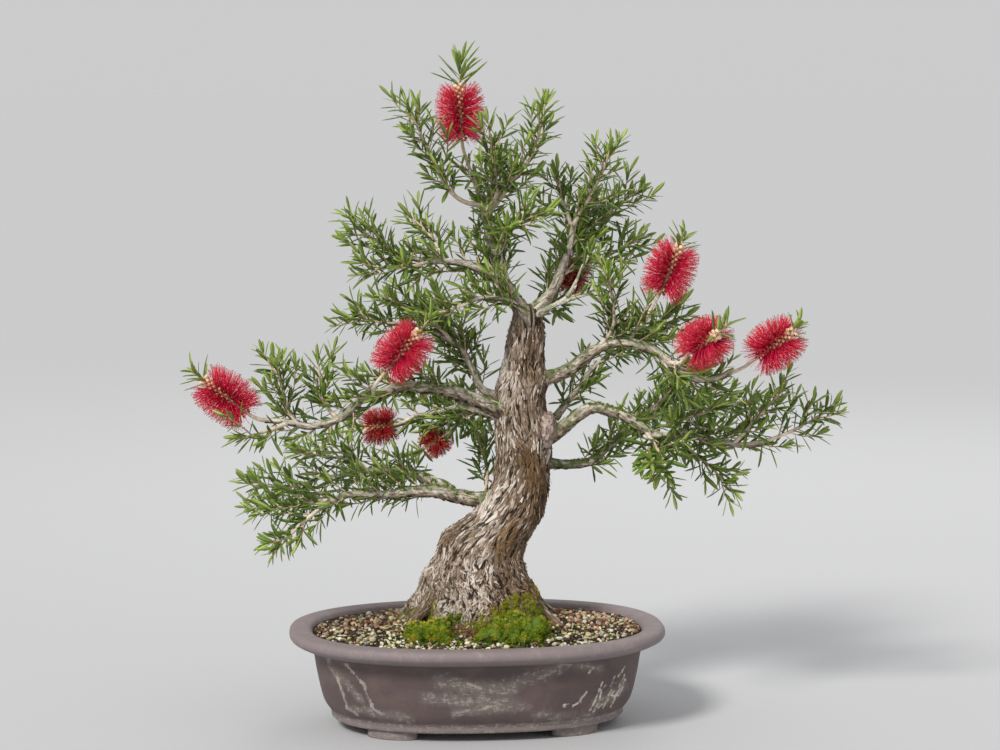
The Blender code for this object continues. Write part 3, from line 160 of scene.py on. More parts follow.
BRANCHES = {
    "low_left": Branch((10.5, 3.4), [
        (38, 0, 247), (14, -3, 245), (-4, -5, 245), (-24, -10, 250), (-44, -20, 256), (-72, -30, 257),
        (-103, -40, 255), (-134, -45, 257), (-150, -50, 253), (-167, -55, 243),
    ]),
    "low_left_back": Branch((6.8, 3), [
        (-30, -10, 252), (-40, -5, 259), (-55, 6, 266), (-74, 22, 271), (-96, 40, 270), (-128, 55, 268),
        (-150, 65, 262),
    ]),
    "mid_left": Branch((10, 3.2), [
        (46, 0, 334), (28, -8, 342), (9, -20, 351), (-12, -30, 360), (-31, -40, 368), (-51, -50, 372),
        (-80, -60, 374), (-101, -65, 368), (-121, -70, 362), (-137, -75, 349), (-152, -80, 340), (-176, -85, 335),
        (-199, -90, 340), (-222, -90, 342),
    ]),
    "mid_left_back": Branch((7, 2.6), [
        (46, 0, 322), (34, 20, 327), (16, 40, 332), (-2, 60, 335), (-23, 80, 336), (-45, 100, 328), (-71, 120, 322),
    ]),
    "left_rise": Branch((6.2, 2.8), [
        (46, 0, 350), (28, 18, 355), (7, 30, 361), (-7, 45, 385), (-17, 50, 403), (-41, 55, 419),
    ]),
    "upper_left": Branch((7.8, 3), [
        (54, 0, 430), (49, -6, 452), (41, -10, 466), (29, -15, 481), (11, -20, 493), (-5, -25, 500), (-23, -30, 505),
        (-52, -40, 507), (-72, -50, 511),
    ]),
    "front_left": Branch((4.8, 2.2), [
        (54, -4, 428), (50, -14, 446), (41, -22, 458), (26, -35, 466), (8, -45, 468), (-6, -55, 465),
    ]),
    "leader": Branch((8.8, 4.2), [
        (54, 2, 428), (48, 8, 448), (34, 10, 474), (22, 10, 503), (14, 10, 526), (10, 10, 547), (8, 10, 563),
    ]),
    "right_leader": Branch((9.2, 3.6), [
        (54, 0, 428), (60, 0, 446), (69, 0, 457), (79, 5, 467), (88, 10, 486), (96, 15, 505), (102, 20, 526),
        (104, 20, 541),
    ]),
    "white_twig": Branch((4, 2), [(64, -4, 446), (74, -14, 452), (86, -24, 460), (97, -31, 468), (105, -35, 479)]),
    "upper_right": Branch((9, 3), [
        (50, 0, 366), (70, -4, 376), (90, -10, 383), (108, -20, 394), (122, -30, 408), (139, -40, 417),
        (155, -50, 421), (171, -60, 420), (188, -65, 414), (201, -70, 403), (218, -75, 391), (235, -80, 384),
        (252, -80, 385), (268, -80, 391),
    ]),
    "cut_stub": Branch((3, 2), [(196, -67, 408), (201, -71, 395), (206, -74, 383)]),
    "knob_up": Branch((6.2, 2.6), [
        (62, 6, 314), (76, 22, 325), (88, 32, 334), (101, 45, 348), (114, 55, 364), (126, 66, 380),
    ]),
    "mid_right": Branch((8.6, 3), [
        (60, 0, 307), (78, 0, 314), (92, 0, 322), (108, 0, 336), (124, 5, 344), (139, 10, 342), (158, 10, 335),
        (175, 10, 326), (190, 5, 316), (205, 0, 314), (223, -5, 317), (245, -10, 313), (271, -15, 308),
        (293, -20, 307), (315, -20, 312),
    ]),
    "low_right": Branch((7.4, 2.8), [
        (52, 4, 288), (70, 12, 284), (84, 20, 281), (103, 30, 279), (125, 40, 281), (139, 50, 291), (155, 60, 304),
        (169, 70, 316), (188, 85, 326), (207, 100, 329),
    ]),
    "white_fork": Branch((2.4, 1.4), [(86, -24, 460), (104, -33, 467), (123, -38, 472)]),
    "white_tip": Branch((2.2, 1.2), [(97, -31, 468), (105, -35, 482), (113, -36, 502)]),
}

# The points are those that a stem grows through after leaving its branch, in millimetres too.
SPRAYS = {
    "crown_left": Spray("leader", 1, 0.45, [
        (-9, -10, 567), (-23, -20, 575), (-36, -30, 592), (-48, -36, 618), (-62, -45, 648), (-74, -50, 674),
    ]),
    "crown_top": Spray("leader", 1, 0.3, [
        (2, 18, 576), (-6, 12, 598), (-14, 4, 622), (-16, 0, 633), (-19, 0, 694), (-17, -4, 716),
    ], 3),
    "crown_mid": Spray("leader", 0.96, 0.25, [(20, -6, 572), (21, -14, 592), (16, -22, 624), (12, -30, 655)]),
    "crown_right": Spray("leader", 0.92, 0.3, [
        (24, 2, 570), (40, -14, 594), (53, -24, 609), (66, -30, 640), (73, -30, 676),
    ]),
    "crown_low_right": Spray("leader", 0.5, 0.15, [(26, -10, 530), (37, -25, 541), (53, -40, 552), (78, -50, 561)]),
    "crown_back": Spray("leader", 0.8, 0.15, [(16, 30, 562), (20, 50, 588), (30, 78, 622)]),
    "right_top": Spray("right_leader", 1, 0.2, [(111, 12, 556), (121, 2, 572), (136, -10, 603), (143, -18, 628)]),
    "right_top_left": Spray("right_leader", 0.97, 0.1, [(97, 24, 558), (90, 24, 576), (84, 18, 600)]),
    "right_out": Spray("right_leader", 0.82, 0.1, [(116, 30, 534), (132, 36, 546), (150, 40, 560), (180, 48, 581)]),
    "right_low": Spray("right_leader", 0.55, 0.1, [(110, 24, 498), (134, 36, 503), (160, 50, 516), (182, 58, 526)]),
    "right_back": Spray("right_leader", 0.72, 0.1, [(108, 44, 526), (122, 72, 546), (140, 104, 566)]),
    "rear_brush": Spray("right_leader", 0.2, 0.1, [
        (78, 26, 456), (88, 50, 458), (96, 68, 462), (112, 98, 504), (118, 108, 520),
    ], 2),
    "upper_left_tip": Spray("upper_left", 1, 0.05, [(-84, -54, 515), (-110, -62, 532), (-138, -74, 558)]),
    "upper_left_under": Spray("upper_left", 0.86, 0.1, [(-70, -60, 502), (-98, -74, 502), (-124, -86, 508)]),
    "upper_left_rise": Spray("upper_left", 0.76, 0.1, [(-42, -28, 522), (-56, -18, 540), (-76, -12, 556)]),
    "front_left_tip": Spray("front_left", 1, 0.05, [(-18, -60, 460), (-36, -70, 455), (-56, -78, 453)]),
    "left_rise_tip": Spray("left_rise", 1, 0.05, [(-56, 58, 424), (-80, 62, 430), (-110, 66, 433), (-150, 74, 437)]),
    "left_rise_side": Spray("left_rise", 0.86, 0.1, [(-44, 46, 430), (-70, 40, 448), (-100, 30, 462)]),
    "left_rise_back": Spray("left_rise", 0.6, 0.1, [(-18, 72, 408), (-34, 100, 430), (-52, 128, 450)]),
    "left_brush": Spray("mid_left", 0.58, 0.1, [
        (-110, -77, 372), (-106, -84, 380), (-99, -87, 389), (-95, -88, 394), (-59, -95, 437), (-48, -98, 451),
    ], 3),
    "mid_left_rise": Spray("mid_left", 0.88, 0.1, [(-198, -90, 352), (-204, -94, 378), (-213, -99, 410)]),
    "mid_left_rise_far": Spray("mid_left", 0.74, 0.1, [(-158, -74, 354), (-165, -66, 378), (-169, -58, 402)]),
    "far_left_brush": Spray("mid_left", 1, 0.1, [
        (-232, -90, 344), (-240, -91, 349), (-287, -95, 386), (-298, -97, 394),
    ], 1),
    "mid_left_out": Spray("mid_left", 0.92, 0.05, [(-210, -100, 336), (-228, -108, 330), (-248, -116, 326)]),
    "rear_left_brush": Spray("mid_left_back", 1, 0.1, [
        (-78, 122, 318), (-86, 127, 313), (-92, 130, 311), (-132, 140, 305), (-144, 143, 302),
    ], 2),
    "rear_brush_low": Spray("mid_left_back", 0.5, 0.1, [
        (-14, 84, 326), (-26, 96, 312), (-34, 104, 304), (-62, 128, 282), (-72, 136, 275),
    ], 2),
    "low_left_back_tip": Spray("low_left_back", 1, 0.05, [
        (-176, 70, 258), (-204, 75, 249), (-230, 80, 247), (-260, 87, 256),
    ]),
    "low_left_back_rise": Spray("low_left_back", 0.8, 0.1, [(-134, 54, 280), (-164, 52, 284), (-200, 48, 290)]),
    "low_left_tip": Spray("low_left", 1, 0.05, [
        (-182, -60, 232), (-195, -65, 220), (-206, -71, 208), (-216, -80, 198),
    ]),
    "low_left_side": Spray("low_left", 0.93, 0.1, [(-166, -46, 250), (-200, -36, 242), (-248, -30, 240)]),
    "heel_shoot": Spray("low_left", 0.16, 0.45, [(11, 16, 262), (10, 30, 280), (8, 34, 304), (2, 36, 320)]),
    "upper_right_top": Spray("upper_right", 0.38, 0.15, [
        (144, -48, 434), (146, -55, 452), (143, -63, 476), (139, -70, 500),
    ]),
    "upper_right_brush": Spray("upper_right", 0.52, 0.15, [
        (174, -54, 438), (186, -50, 458), (195, -50, 472), (216, -55, 525), (221, -58, 536),
    ], 2),
    "mid_right_brush": Spray("upper_right", 0.72, 0.15, [
        (214, -86, 402), (220, -92, 410), (226, -98, 416), (250, -129, 437), (259, -136, 447),
    ], 2),
    "end_brush": Spray("upper_right", 1, 0.1, [
        (280, -80, 396), (290, -81, 403), (296, -82, 408), (332, -102, 437), (338, -105, 445),
    ], 2),
    "upper_right_back": Spray("upper_right", 0.46, 0.1, [(166, -34, 428), (192, -10, 434), (232, 22, 444)]),
    "knob_up_tip": Spray("knob_up", 1, 0.05, [(140, 74, 392), (160, 90, 400), (184, 108, 404)]),
    "mid_right_tip": Spray("mid_right", 1, 0.05, [(339, -21, 322), (360, -25, 334), (382, -28, 347)]),
    "mid_right_rise": Spray("mid_right", 0.86, 0.1, [(292, -28, 326), (308, -36, 346), (328, -46, 370)]),
    "mid_right_rise_near": Spray("mid_right", 0.62, 0.1, [(218, -18, 332), (240, -34, 342), (262, -50, 354)]),
    "mid_right_drop": Spray("mid_right", 0.5, 0.15, [(196, -16, 300), (200, -36, 286), (188, -56, 274)]),
    "mid_right_under": Spray("mid_right", 0.6, 0.1, [(226, 14, 300), (248, 26, 284), (270, 24, 262), (282, 22, 250)]),
    "low_right_tip": Spray("low_right", 1, 0.05, [(222, 106, 332), (262, 114, 336), (312, 126, 336)]),
    "low_right_side": Spray("low_right", 0.86, 0.1, [(204, 98, 342), (232, 106, 362), (254, 114, 384)]),
}


class Slot(Enum):
    """The record's material slots."""

    CLAY = "clay"
    BARK = "bark"
    SOIL = "soil"
    MOSS = "moss"
    LEAF = "leaf"
    BRUSH = "brush"
    MESH = "mesh"


def unit(vectors: Array) -> Array:
    """The same directions at length one."""
    return vectors / np.maximum(np.linalg.norm(vectors, axis=-1, keepdims=True), 1e-12)


def turned(points: Sequence[Point]) -> Array:
    """Turns points of the tree's front view into the pot's own view, one row each."""
    flat = np.array(points, float).reshape(-1, 3)
    cosine, sine = math.cos(TREE_TURN), math.sin(TREE_TURN)
    return flat @ np.array([(cosine, sine, 0.0), (-sine, cosine, 0.0), (0.0, 0.0, 1.0)])


def placed(points: Any, scale: float = 1.0) -> Array:
    """Turns points of the tree's front view, of any layout, into the frame."""
    return (turned(points) * scale).reshape(np.shape(points)) + SHIFT


def square_to(direction: Array) -> tuple[Array, Array]:
    """Two directions square to a third, the first as level as it can be."""
    side = np.cross(direction, (0.0, 0.0, 1.0))
    if np.linalg.norm(side) < 0.05:
        side = np.cross(direction, (0.0, 1.0, 0.0))
    side = unit(side)
    return side, unit(np.cross(side, direction))


def off_axis(along: Array, turn: float) -> Array:
    """A direction square to a line, turned round it."""
    side, up = square_to(along)
    return side * math.cos(turn) + up * math.sin(turn)


def all_round(count: int) -> Array:
    """Angles spread evenly over a full turn."""
    return math.tau * np.arange(count) / count


def within(reach: Sequence[float], share: float, angle: float) -> Pair:
    """A place inside an ellipse, some share of the way out."""
    return reach[0] * share * math.cos(angle), reach[1] * share * math.sin(angle)


def hump(off: Any, width: Any, power: int = 2) -> Array:
    """One in the middle, falling to nothing beyond a width."""
    return np.exp(-((off / width) ** power))


def share_of(value: float) -> float:
    """A number kept between 0 and 1."""
    return min(1.0, max(0.0, value))


def side_by_side(*parts: Any) -> Array:
    """Vectors made of their parts, which may be grids or single numbers."""
    return np.stack(np.broadcast_arrays(*parts), axis=-1)


def grain_noise(points: Array, scale: Sequence[float] | float, octaves: int = 2) -> Array:
    """Smooth noise from about -1 to 1, with a scale for all axes or for each."""
    flat = (points * np.array(scale)).reshape(-1, 3)
    read = [noise.fractal(place, NOISE_FADE, NOISE_FINER, octaves) for place in flat.tolist()]
    return np.array(read).reshape(points.shape[:-1])


def coarse_noise(points: Array, step: int, scale: Sequence[float], octaves: int) -> Array:
    """Noise read at every few points of a grid, and repeated for those between."""
    read = grain_noise(points[::step, ::step], scale, octaves)
    return read.repeat(step, axis=0).repeat(step, axis=1)[:points.shape[0], :points.shape[1]]


def deselect() -> None:
    """Leaves nothing selected, in object mode."""
    if bpy.context.object and bpy.context.object.mode != "OBJECT":
        bpy.ops.object.mode_set(mode="OBJECT")
    bpy.ops.object.select_all(action="DESELECT")


def added(shape: str, **settings: Any) -> Thing:
    """Adds one primitive, with nothing else selected."""
    deselect()
    getattr(bpy.ops.mesh, f"primitive_{shape}_add")(**settings)
    return bpy.context.object


def worked(thing: Thing, kind: str, **settings: Any) -> None:
    """Applies one modifier to a shape."""
    deselect()
    thing.select_set(True)
    bpy.context.view_layer.objects.active = thing
    made = thing.modifiers.new(kind, kind)
    for key, value in settings.items():
        setattr(made, key, value)
    bpy.ops.object.modifier_apply(modifier=made.name)


def keep(piece: Thing, name: str, values: Any) -> None:
    """Keeps a vector on each point of a piece."""
    layer = piece.data.attributes.new(name, "FLOAT_VECTOR", "POINT")
    layer.data.foreach_set("vector", np.asarray(values, np.float32).ravel())


def legs(routes: Sequence[Sequence[Pair]]) -> Iterator[tuple[Pair, Pair]]:
    """Each straight leg of some strokes given in millimetres: where it starts, and how far it goes."""
    for route in routes:
        points = [(x / 1000, z / 1000) for x, z in route]
        for (x_a, z_a), (x_b, z_b) in zip(points, points[1:]):
            yield (x_a, z_a), (x_b - x_a, z_b - z_a)


def show(piece: Thing, slot: Slot, nodes: Sequence[str], finishes: Sequence[Finish]) -> Thing:
    """Dresses a piece, puts it on the body and lets it stand for CAD nodes.

    Args:
        piece: the finished mesh object.
        slot: the record's slot for it; not used.
        nodes: CAD nodes that it replaces.
        finishes: its materials, in the order of its faces' material numbers.

    Returns:
        The piece.
    """
    for finish in finishes:
        piece.data.materials.append(finish)
    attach(piece, "root")
    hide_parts(*nodes)
    LOG.info("%s: %d faces for %s", piece.name, len(piece.data.polygons), ", ".join(nodes))
    return piece


@dataclass(frozen=True)
class Line:
    """A smooth line through a few points, read by its length."""

    points: Array
    marks: Array

    @classmethod
    def through(cls, points: Array, smooth: int = 6) -> "Line":
        """Rounds the corners of a route, with some steps from each point to the next."""
        if len(points) > 2:
            ends = np.vstack([2 * points[0] - points[1], points, 2 * points[-1] - points[-2]])
            a, b, c, d = (row[:, None, :] for row in (ends[:-3], ends[1:-2], ends[2:-1], ends[3:]))
            t = (np.arange(smooth) / smooth)[None, :, None]
            cubic = (3 * b - a - 3 * c + d) * t**3 + (2 * a - 5 * b + 4 * c - d) * t * t
            points = np.vstack([(0.5 * (2 * b + (c - a) * t + cubic)).reshape(-1, 3), points[-1]])
        return cls.cornered(points)

    @classmethod
    def cornered(cls, points: Array) -> "Line":
        """Goes straight from point to point."""
        steps = np.linalg.norm(np.diff(points, axis=0), axis=1)
        return cls(points, np.concatenate([[0.0], np.cumsum(steps)]))

    @property
    def length(self) -> float:
        """How long the line is."""
        return float(self.marks[-1])

    def at(self, lengths: Array | float) -> Array:
        """Points at some lengths along the line."""
        return np.stack([np.interp(lengths, self.marks, self.points[:, axis]) for axis in range(3)], axis=-1)

    def along(self, lengths: Array | float) -> Array:
        """Directions of the line at some lengths."""
        ahead = np.minimum(np.asarray(lengths) + READ_STEP, self.length)
        behind = np.maximum(np.asarray(lengths) - READ_STEP, 0.0)
        return unit(self.at(ahead) - self.at(behind))

    def rings(self, lengths: Array, radii: Array, sides: int) -> Array:
        """Rings of points round the line at some lengths, turned as little as they can be from one to the next."""
        centres, directions = self.at(lengths), self.along(lengths)
        side = square_to(directions[0])[0]
        turn = all_round(sides)
        rows = []
        for centre, direction, radius in zip(centres, directions, radii):
            side = unit(side - direction * side.dot(direction))
            up = np.cross(direction, side)
            rows.append(centre + radius * (np.outer(np.cos(turn), side) + np.outer(np.sin(turn), up)))
        return np.array(rows)


def roll(name: str, rows: Array, marks: dict[str, Array] | None = None) -> Thing:
    """Rolls a grid into a closed skin through rings of points.

    Args:
        name: the piece's name.
        rows: the rings, as (rings, points round each, 3).
        marks: vectors to keep on the points, by attribute name, in the same layout.

    Returns:
        The skin, smooth and facing outwards.
    """
    count, around = rows.shape[:2]
    thing = added("grid", x_subdivisions=around, y_subdivisions=count - 1, size=1)
    thing.name = thing.data.name = name
    closed = np.concatenate([rows, rows[:, :1]], axis=1)
    thing.data.vertices.foreach_set("co", closed.astype(np.float32).ravel())
    for key, values in (marks or {}).items():
        keep(thing, key, np.concatenate([values, values[:, :1]], axis=1))
    bpy.ops.object.mode_set(mode="EDIT")
    bpy.ops.mesh.select_all(action="SELECT")
    bpy.ops.mesh.remove_doubles(threshold=1e-7)
    bpy.ops.mesh.fill_holes(sides=0)
    bpy.ops.mesh.select_all(action="SELECT")
    bpy.ops.mesh.normals_make_consistent(inside=False)
    bpy.ops.object.mode_set(mode="OBJECT")
    bpy.ops.object.shade_smooth()
    return thing


@dataclass
class Stamp:
    """A small shape that is modelled once and copied many times."""

    points: Array
    loops: Array
    sizes: Array
    smooth: bool = True

    @classmethod
    def lifted(cls, thing: Thing, smooth: bool = True) -> "Stamp":
        """Reads a shape modelled at the origin, and removes it from the scene."""
        points = np.array([vertex.co for vertex in thing.data.vertices], float)
        loops = np.array([loop.vertex_index for loop in thing.data.loops])
        sizes = np.array([face.loop_total for face in thing.data.polygons])
        bpy.data.objects.remove(thing, do_unlink=True)
        return cls(points, loops, sizes, smooth)


@dataclass
class Collage:
    """Copies of stamps, and slim tubes, gathered into one mesh."""

    parts: list[tuple[Array, ...]] = field(default_factory=list)
    count: int = 0

    def add(self, points: Array, loops: Array, sizes: Array, shades: Array, kind: int,
            smooth: bool = True) -> None:
        """Adds points and their faces: all the faces' point numbers in a row, and how many each face has."""
        kinds, smooths = np.full(len(sizes), kind), np.full(len(sizes), smooth)
        self.parts.append((points, loops + self.count, sizes, np.broadcast_to(shades, points.shape), kinds, smooths))
        self.count += len(points)

    def press(self, stamp: Stamp, axes: Array, place: Array, shade: Sequence[float], kind: int = 0,
              bend: float = 0.0) -> None:
        """Copies a stamp.

        Args:
            stamp: the shape.
            axes: its three axes in the frame as rows, each at its scale.
            place: where its origin goes.
            shade: the vector that its points keep.
            kind: the number of its material.
            bend: how far its end curls along its third axis.
        """
        points = stamp.points
        if bend:
            points = points.copy()
            points[:, 2] += bend * points[:, 1] ** 2
        self.add(points @ axes + place, stamp.loops, stamp.sizes, np.array(shade), kind, stamp.smooth)

    def tube(self, rows: Array, shades: Array, kind: int) -> None:
        """Adds a closed tube through rings of points, which ends in a point.

        Args:
            rows: the rings, as (rings, sides, 3).
            shades: a vector for each ring, or for each of their points.
            kind: the number of its material.
        """
        shades = np.broadcast_to(shades if shades.ndim == 3 else shades[:, None], rows.shape)
        count, sides = rows.shape[:2]
        near = np.arange(count - 1)[:, None] * sides
        here, there = np.arange(sides)[None, :], (np.arange(sides)[None, :] + 1) % sides
        quads = np.stack([near + here, near + there, near + sides + there, near + sides + here], axis=-1)
        tip = count * sides
        last = tip - sides
        fan = np.stack([last + here[0], last + there[0], np.full(sides, tip)], axis=-1)
        loops = np.concatenate([quads.ravel(), fan.ravel(), here[0][::-1]])
        sizes = np.concatenate([np.full(quads.size // 4, 4), np.full(sides, 3), [sides]])
        middle, before = rows[-1].mean(axis=0), rows[-2].mean(axis=0)
        reach = np.linalg.norm(rows[-1][0] - middle)
        end = middle + unit(middle - before) * reach * 2
        points = np.vstack([rows.reshape(-1, 3), end])
        self.add(points, loops, sizes, np.vstack([shades.reshape(-1, 3), shades[-1, 0]]), kind)

    def piece(self, name: str, mark: str = "shade") -> Thing:
        """Makes one object of all that was added, and keeps its shades as an attribute."""
        points, loops, sizes, shades, kinds, smooths = (np.concatenate(rows) for rows in zip(*self.parts))
        mesh = bpy.data.meshes.new(name)
        mesh.vertices.add(len(points))
        mesh.loops.add(len(loops))
        mesh.polygons.add(len(sizes))
        for layers, key, values, kind in (
            (mesh.vertices, "co", points, np.float32), (mesh.loops, "vertex_index", loops, np.int32),
            (mesh.polygons, "loop_start", np.cumsum(sizes) - sizes, np.int32),
            (mesh.polygons, "loop_total", sizes, np.int32),
            (mesh.polygons, "material_index", kinds, np.int32), (mesh.polygons, "use_smooth", smooths, bool),
        ):
            layers.foreach_set(key, values.astype(kind).ravel())
        mesh.update(calc_edges=True)
        thing = bpy.data.objects.new(name, mesh)
        bpy.context.scene.collection.objects.link(thing)
        keep(thing, mark, shades)
        return thing


class Value:
    """A socket in an expression: arithmetic on it adds Math nodes."""

    def __init__(self, shader: "Shader", socket: Any) -> None:
        """Wraps a socket of a shader's tree."""
        self.shader, self.socket = shader, socket

    def _math(self, operation: str, first: Any, second: Any) -> "Value":
        """Adds one Math node."""
        return self.shader.node("Math", {0: first, 1: second}, operation=operation)

    def __add__(self, other: Any) -> "Value":
        """This plus another."""
        return self._math("ADD", self, other)

    def __mul__(self, other: Any) -> "Value":
        """This times another."""
        return self._math("MULTIPLY", self, other)

    __radd__, __rmul__ = __add__, __mul__

    def __sub__(self, other: Any) -> "Value":
        """This less another."""
        return self._math("SUBTRACT", self, other)

    def __rsub__(self, other: Any) -> "Value":
        """Another less this."""
        return self._math("SUBTRACT", other, self)

    def least(self, other: Any) -> "Value":
        """The lesser of this and another."""
        return self._math("MINIMUM", self, other)

    def above(self, low: float, high: float) -> "Value":
        """Eases from 0 at or under one number to 1 at or over another."""
        return self.shader.node("MapRange", {0: self, 1: low, 2: high}, interpolation_type="SMOOTHSTEP")


class Shader:
    """One material's node tree, built up by expressions."""

    def __init__(self, name: str, specular: float = 0.2) -> None:
        """Makes the material."""
        self.material = bpy.data.materials.new(name)
        self.material.use_nodes = True
        self.tree = self.material.node_tree
        self.principled = self.tree.nodes["Principled BSDF"]
        self.principled.inputs["Specular IOR Level"].default_value = specular

    def node(self, kind: str, inputs: dict[Any, Any] | None = None, output: int | str = 0, **settings: Any) -> Value:
        """Adds a node.

        Args:
            kind: the node's type, less the words that all types start with.
            inputs: values or links of its sockets, by name or number.
            output: which of its outputs is wanted.
            settings: its settings, which are set first. A list of stops goes into its ramp.

        Returns:
            The wanted output.
        """
        made = self.tree.nodes.new("ShaderNode" + kind)
        if stops := settings.pop("stops", None):
            for _ in stops[2:]:
                made.color_ramp.elements.new(1.0)
            for element, (place, colour) in zip(made.color_ramp.elements, stops):
                element.position, element.color = place, (*colour, 1.0)
        for key, value in settings.items():
            setattr(made, key, value)
        for key, value in (inputs or {}).items():
            self.feed(made.inputs[key], value)
        return Value(self, made.outputs[output])

    def feed(self, socket: Any, value: Any) -> None:
        """Links a socket, or sets its value."""
        if isinstance(value, Value):
            self.tree.links.new(value.socket, socket)
        else:
            socket.default_value = (*value, 1.0) if socket.type == "RGBA" else value

    def place(self) -> Value:
        """The point in the object's own coordinates."""
        return self.node("TexCoord", output="Object")

    def kept(self, name: str) -> Value:
        """A vector that the mesh keeps on its points."""
        return self.node("Attribute", output="Vector", attribute_name=name)

    def parts(self, vector: Value) -> tuple[Value, ...]:
        """The three numbers of a vector."""
        first = self.node("SeparateXYZ", {0: vector})
        return tuple(Value(self, socket) for socket in first.socket.node.outputs)

    def noise(self, vector: Value, scale: Point | float, detail: float = 3.0, distortion: float = 0.0) -> Value:
        """Noise from 0 to 1, with one scale or with its own along each axis."""
        scales = scale if isinstance(scale, tuple) else (scale,) * 3
        place = self.node("Mapping", {"Vector": vector, "Scale": scales})
        inputs = {"Vector": place, "Scale": 1.0, "Detail": detail, "Roughness": 0.6, "Distortion": distortion}
        return self.node("TexNoise", inputs, "Fac")

    def vector(self, operation: str, inputs: dict[int, Any], output: int = 0) -> Value:
        """Adds one Vector Math node."""
        return self.node("VectorMath", inputs, output, operation=operation)

    def away(self, place: Value, routes: Sequence[Sequence[Pair]]) -> Value:
        """How far a point is from the nearest of some strokes, seen from the pot's front.

        Args:
            place: the point.
            routes: each stroke's points in millimetres, across and up from the pot's middle.

        Returns:
            The distance.
        """
        flat = self.vector("MULTIPLY", {0: place, 1: (1.0, 0.0, 1.0)})
        nearest = None
        for (x, z), (across, up) in legs(routes):
            run = Vector((across, 0.0, up))
            off = self.vector("SUBTRACT", {0: flat, 1: (x + float(SHIFT[0]), 0.0, z)})
            share = self.vector("DOT_PRODUCT", {0: off, 1: tuple(run / run.length_squared)}, 1)
            along = self.vector("SCALE", {0: tuple(run), 3: self.node("Clamp", {0: share})})
            distance = self.vector("DISTANCE", {0: off, 1: along}, 1)
            nearest = nearest.least(distance) if nearest else distance
        return nearest

    def ramp(self, value: Value, stops: Sequence[tuple[float, Colour]]) -> Value:
        """Colours for a value."""
        return self.node("ValToRGB", {0: value}, stops=stops)

    def mix(self, share: Any, first: Any, second: Any) -> Value:
        """One colour going over to another."""
        return self.node("Mix", {0: share, 6: first, 7: second}, 2, data_type="RGBA")

    def finish(self, colour: Value, roughness: Any, height: Value | None = None, depth: float = 0.001,
               strength: float = 1.0) -> Finish:
        """Feeds the shader, with relief of some depth where a height from 0 to 1 is given."""
        fed = {"Base Color": colour, "Roughness": roughness}
        if height is not None:
            fed["Normal"] = self.node("Bump", {"Strength": strength, "Distance": depth, "Height": height})
        for name, value in fed.items():
            self.feed(self.principled.inputs[name], value)
        return self.material


def shown(code: str) -> Colour:
    """A colour given as it looks on a screen, in six hexadecimal digits."""
    red, green, blue = ((int(code[at:at + 2], 16) / 255) ** SCREEN_GAMMA for at in (0, 2, 4))
    return red, green, blue


@dataclass(frozen=True)
class Clay:
    """Unglazed purple-brown clay with pale lime stains. Its "stain" holds rim, haze and front shares."""

    body: Colour = shown("584c4c")
    warm: Colour = shown("665753")
    rim: Colour = shown("85797a")
    worn: Colour = shown("9e9691")
    haze: Colour = shown("7d746e")
    lime: Colour = shown("b8b0a6")
    bright: Colour = shown("dbd1c2")
    shadow: Colour = shown("3d3333")

    def made(self) -> Finish:
        """Makes the material."""
        shader = Shader("unglazed_clay", 0.35)
        place = shader.place()
        rim, patch, front = shader.parts(shader.kept("stain"))
        broad = shader.noise(place, (22, 22, 30), 4.0, 0.6)
        fine = shader.noise(place, (520, 520, 420), 4.0)
        ragged = shader.noise(place, (190, 190, 120), 5.0, 0.8)
        gaps = shader.noise(place, (75, 75, 60), 4.0, 0.5)
        colour = shader.mix(broad.above(0.35, 0.7), self.body, self.warm)
        colour = shader.mix((fine.above(0.58, 0.8)) * 0.45, colour, self.shadow)
        colour = shader.mix(rim * 0.85, colour, self.rim)
        colour = shader.mix(rim * (fine * 0.6 + gaps * 0.7).above(0.62, 0.90) * 0.5, colour, self.worn)
        smear = (patch * 0.85 + gaps * 1.1 + ragged * 0.5 - 0.92).above(0.10, 0.85)
        colour = shader.mix(smear * 0.55, colour, self.haze)
        scrapes = shader.noise(place, (130, 130, 480), 4.0, 0.4)
        flecks = (patch * 0.14 + ragged * 0.5 + scrapes * 0.5).above(0.62, 0.72)
        colour = shader.mix(flecks * (patch * 0.34 + 0.05), colour, self.lime)
        torn = (ragged - 0.5) * 0.009 + (fine - 0.5) * 0.004
        streaks = (1.0 - (shader.away(place, STREAKS) + torn).above(0.0003, 0.0019)) * front
        colour = shader.mix(streaks * ((gaps + fine * 0.6).above(0.52, 0.92) * 0.5 + 0.14), colour, self.lime)
        marks = (1.0 - (shader.away(place, MARKS) + torn).above(0.0001, 0.0015)) * front
        colour = shader.mix(marks * ((gaps + fine * 0.6).above(0.54, 0.86) * 0.75 + 0.07), colour, self.bright)
        grit = fine * 0.5 + ragged * 0.6 + (streaks + marks) * 0.1
        return shader.finish(colour, fine * 0.2 + 0.52, grit, 0.0007, 0.5)


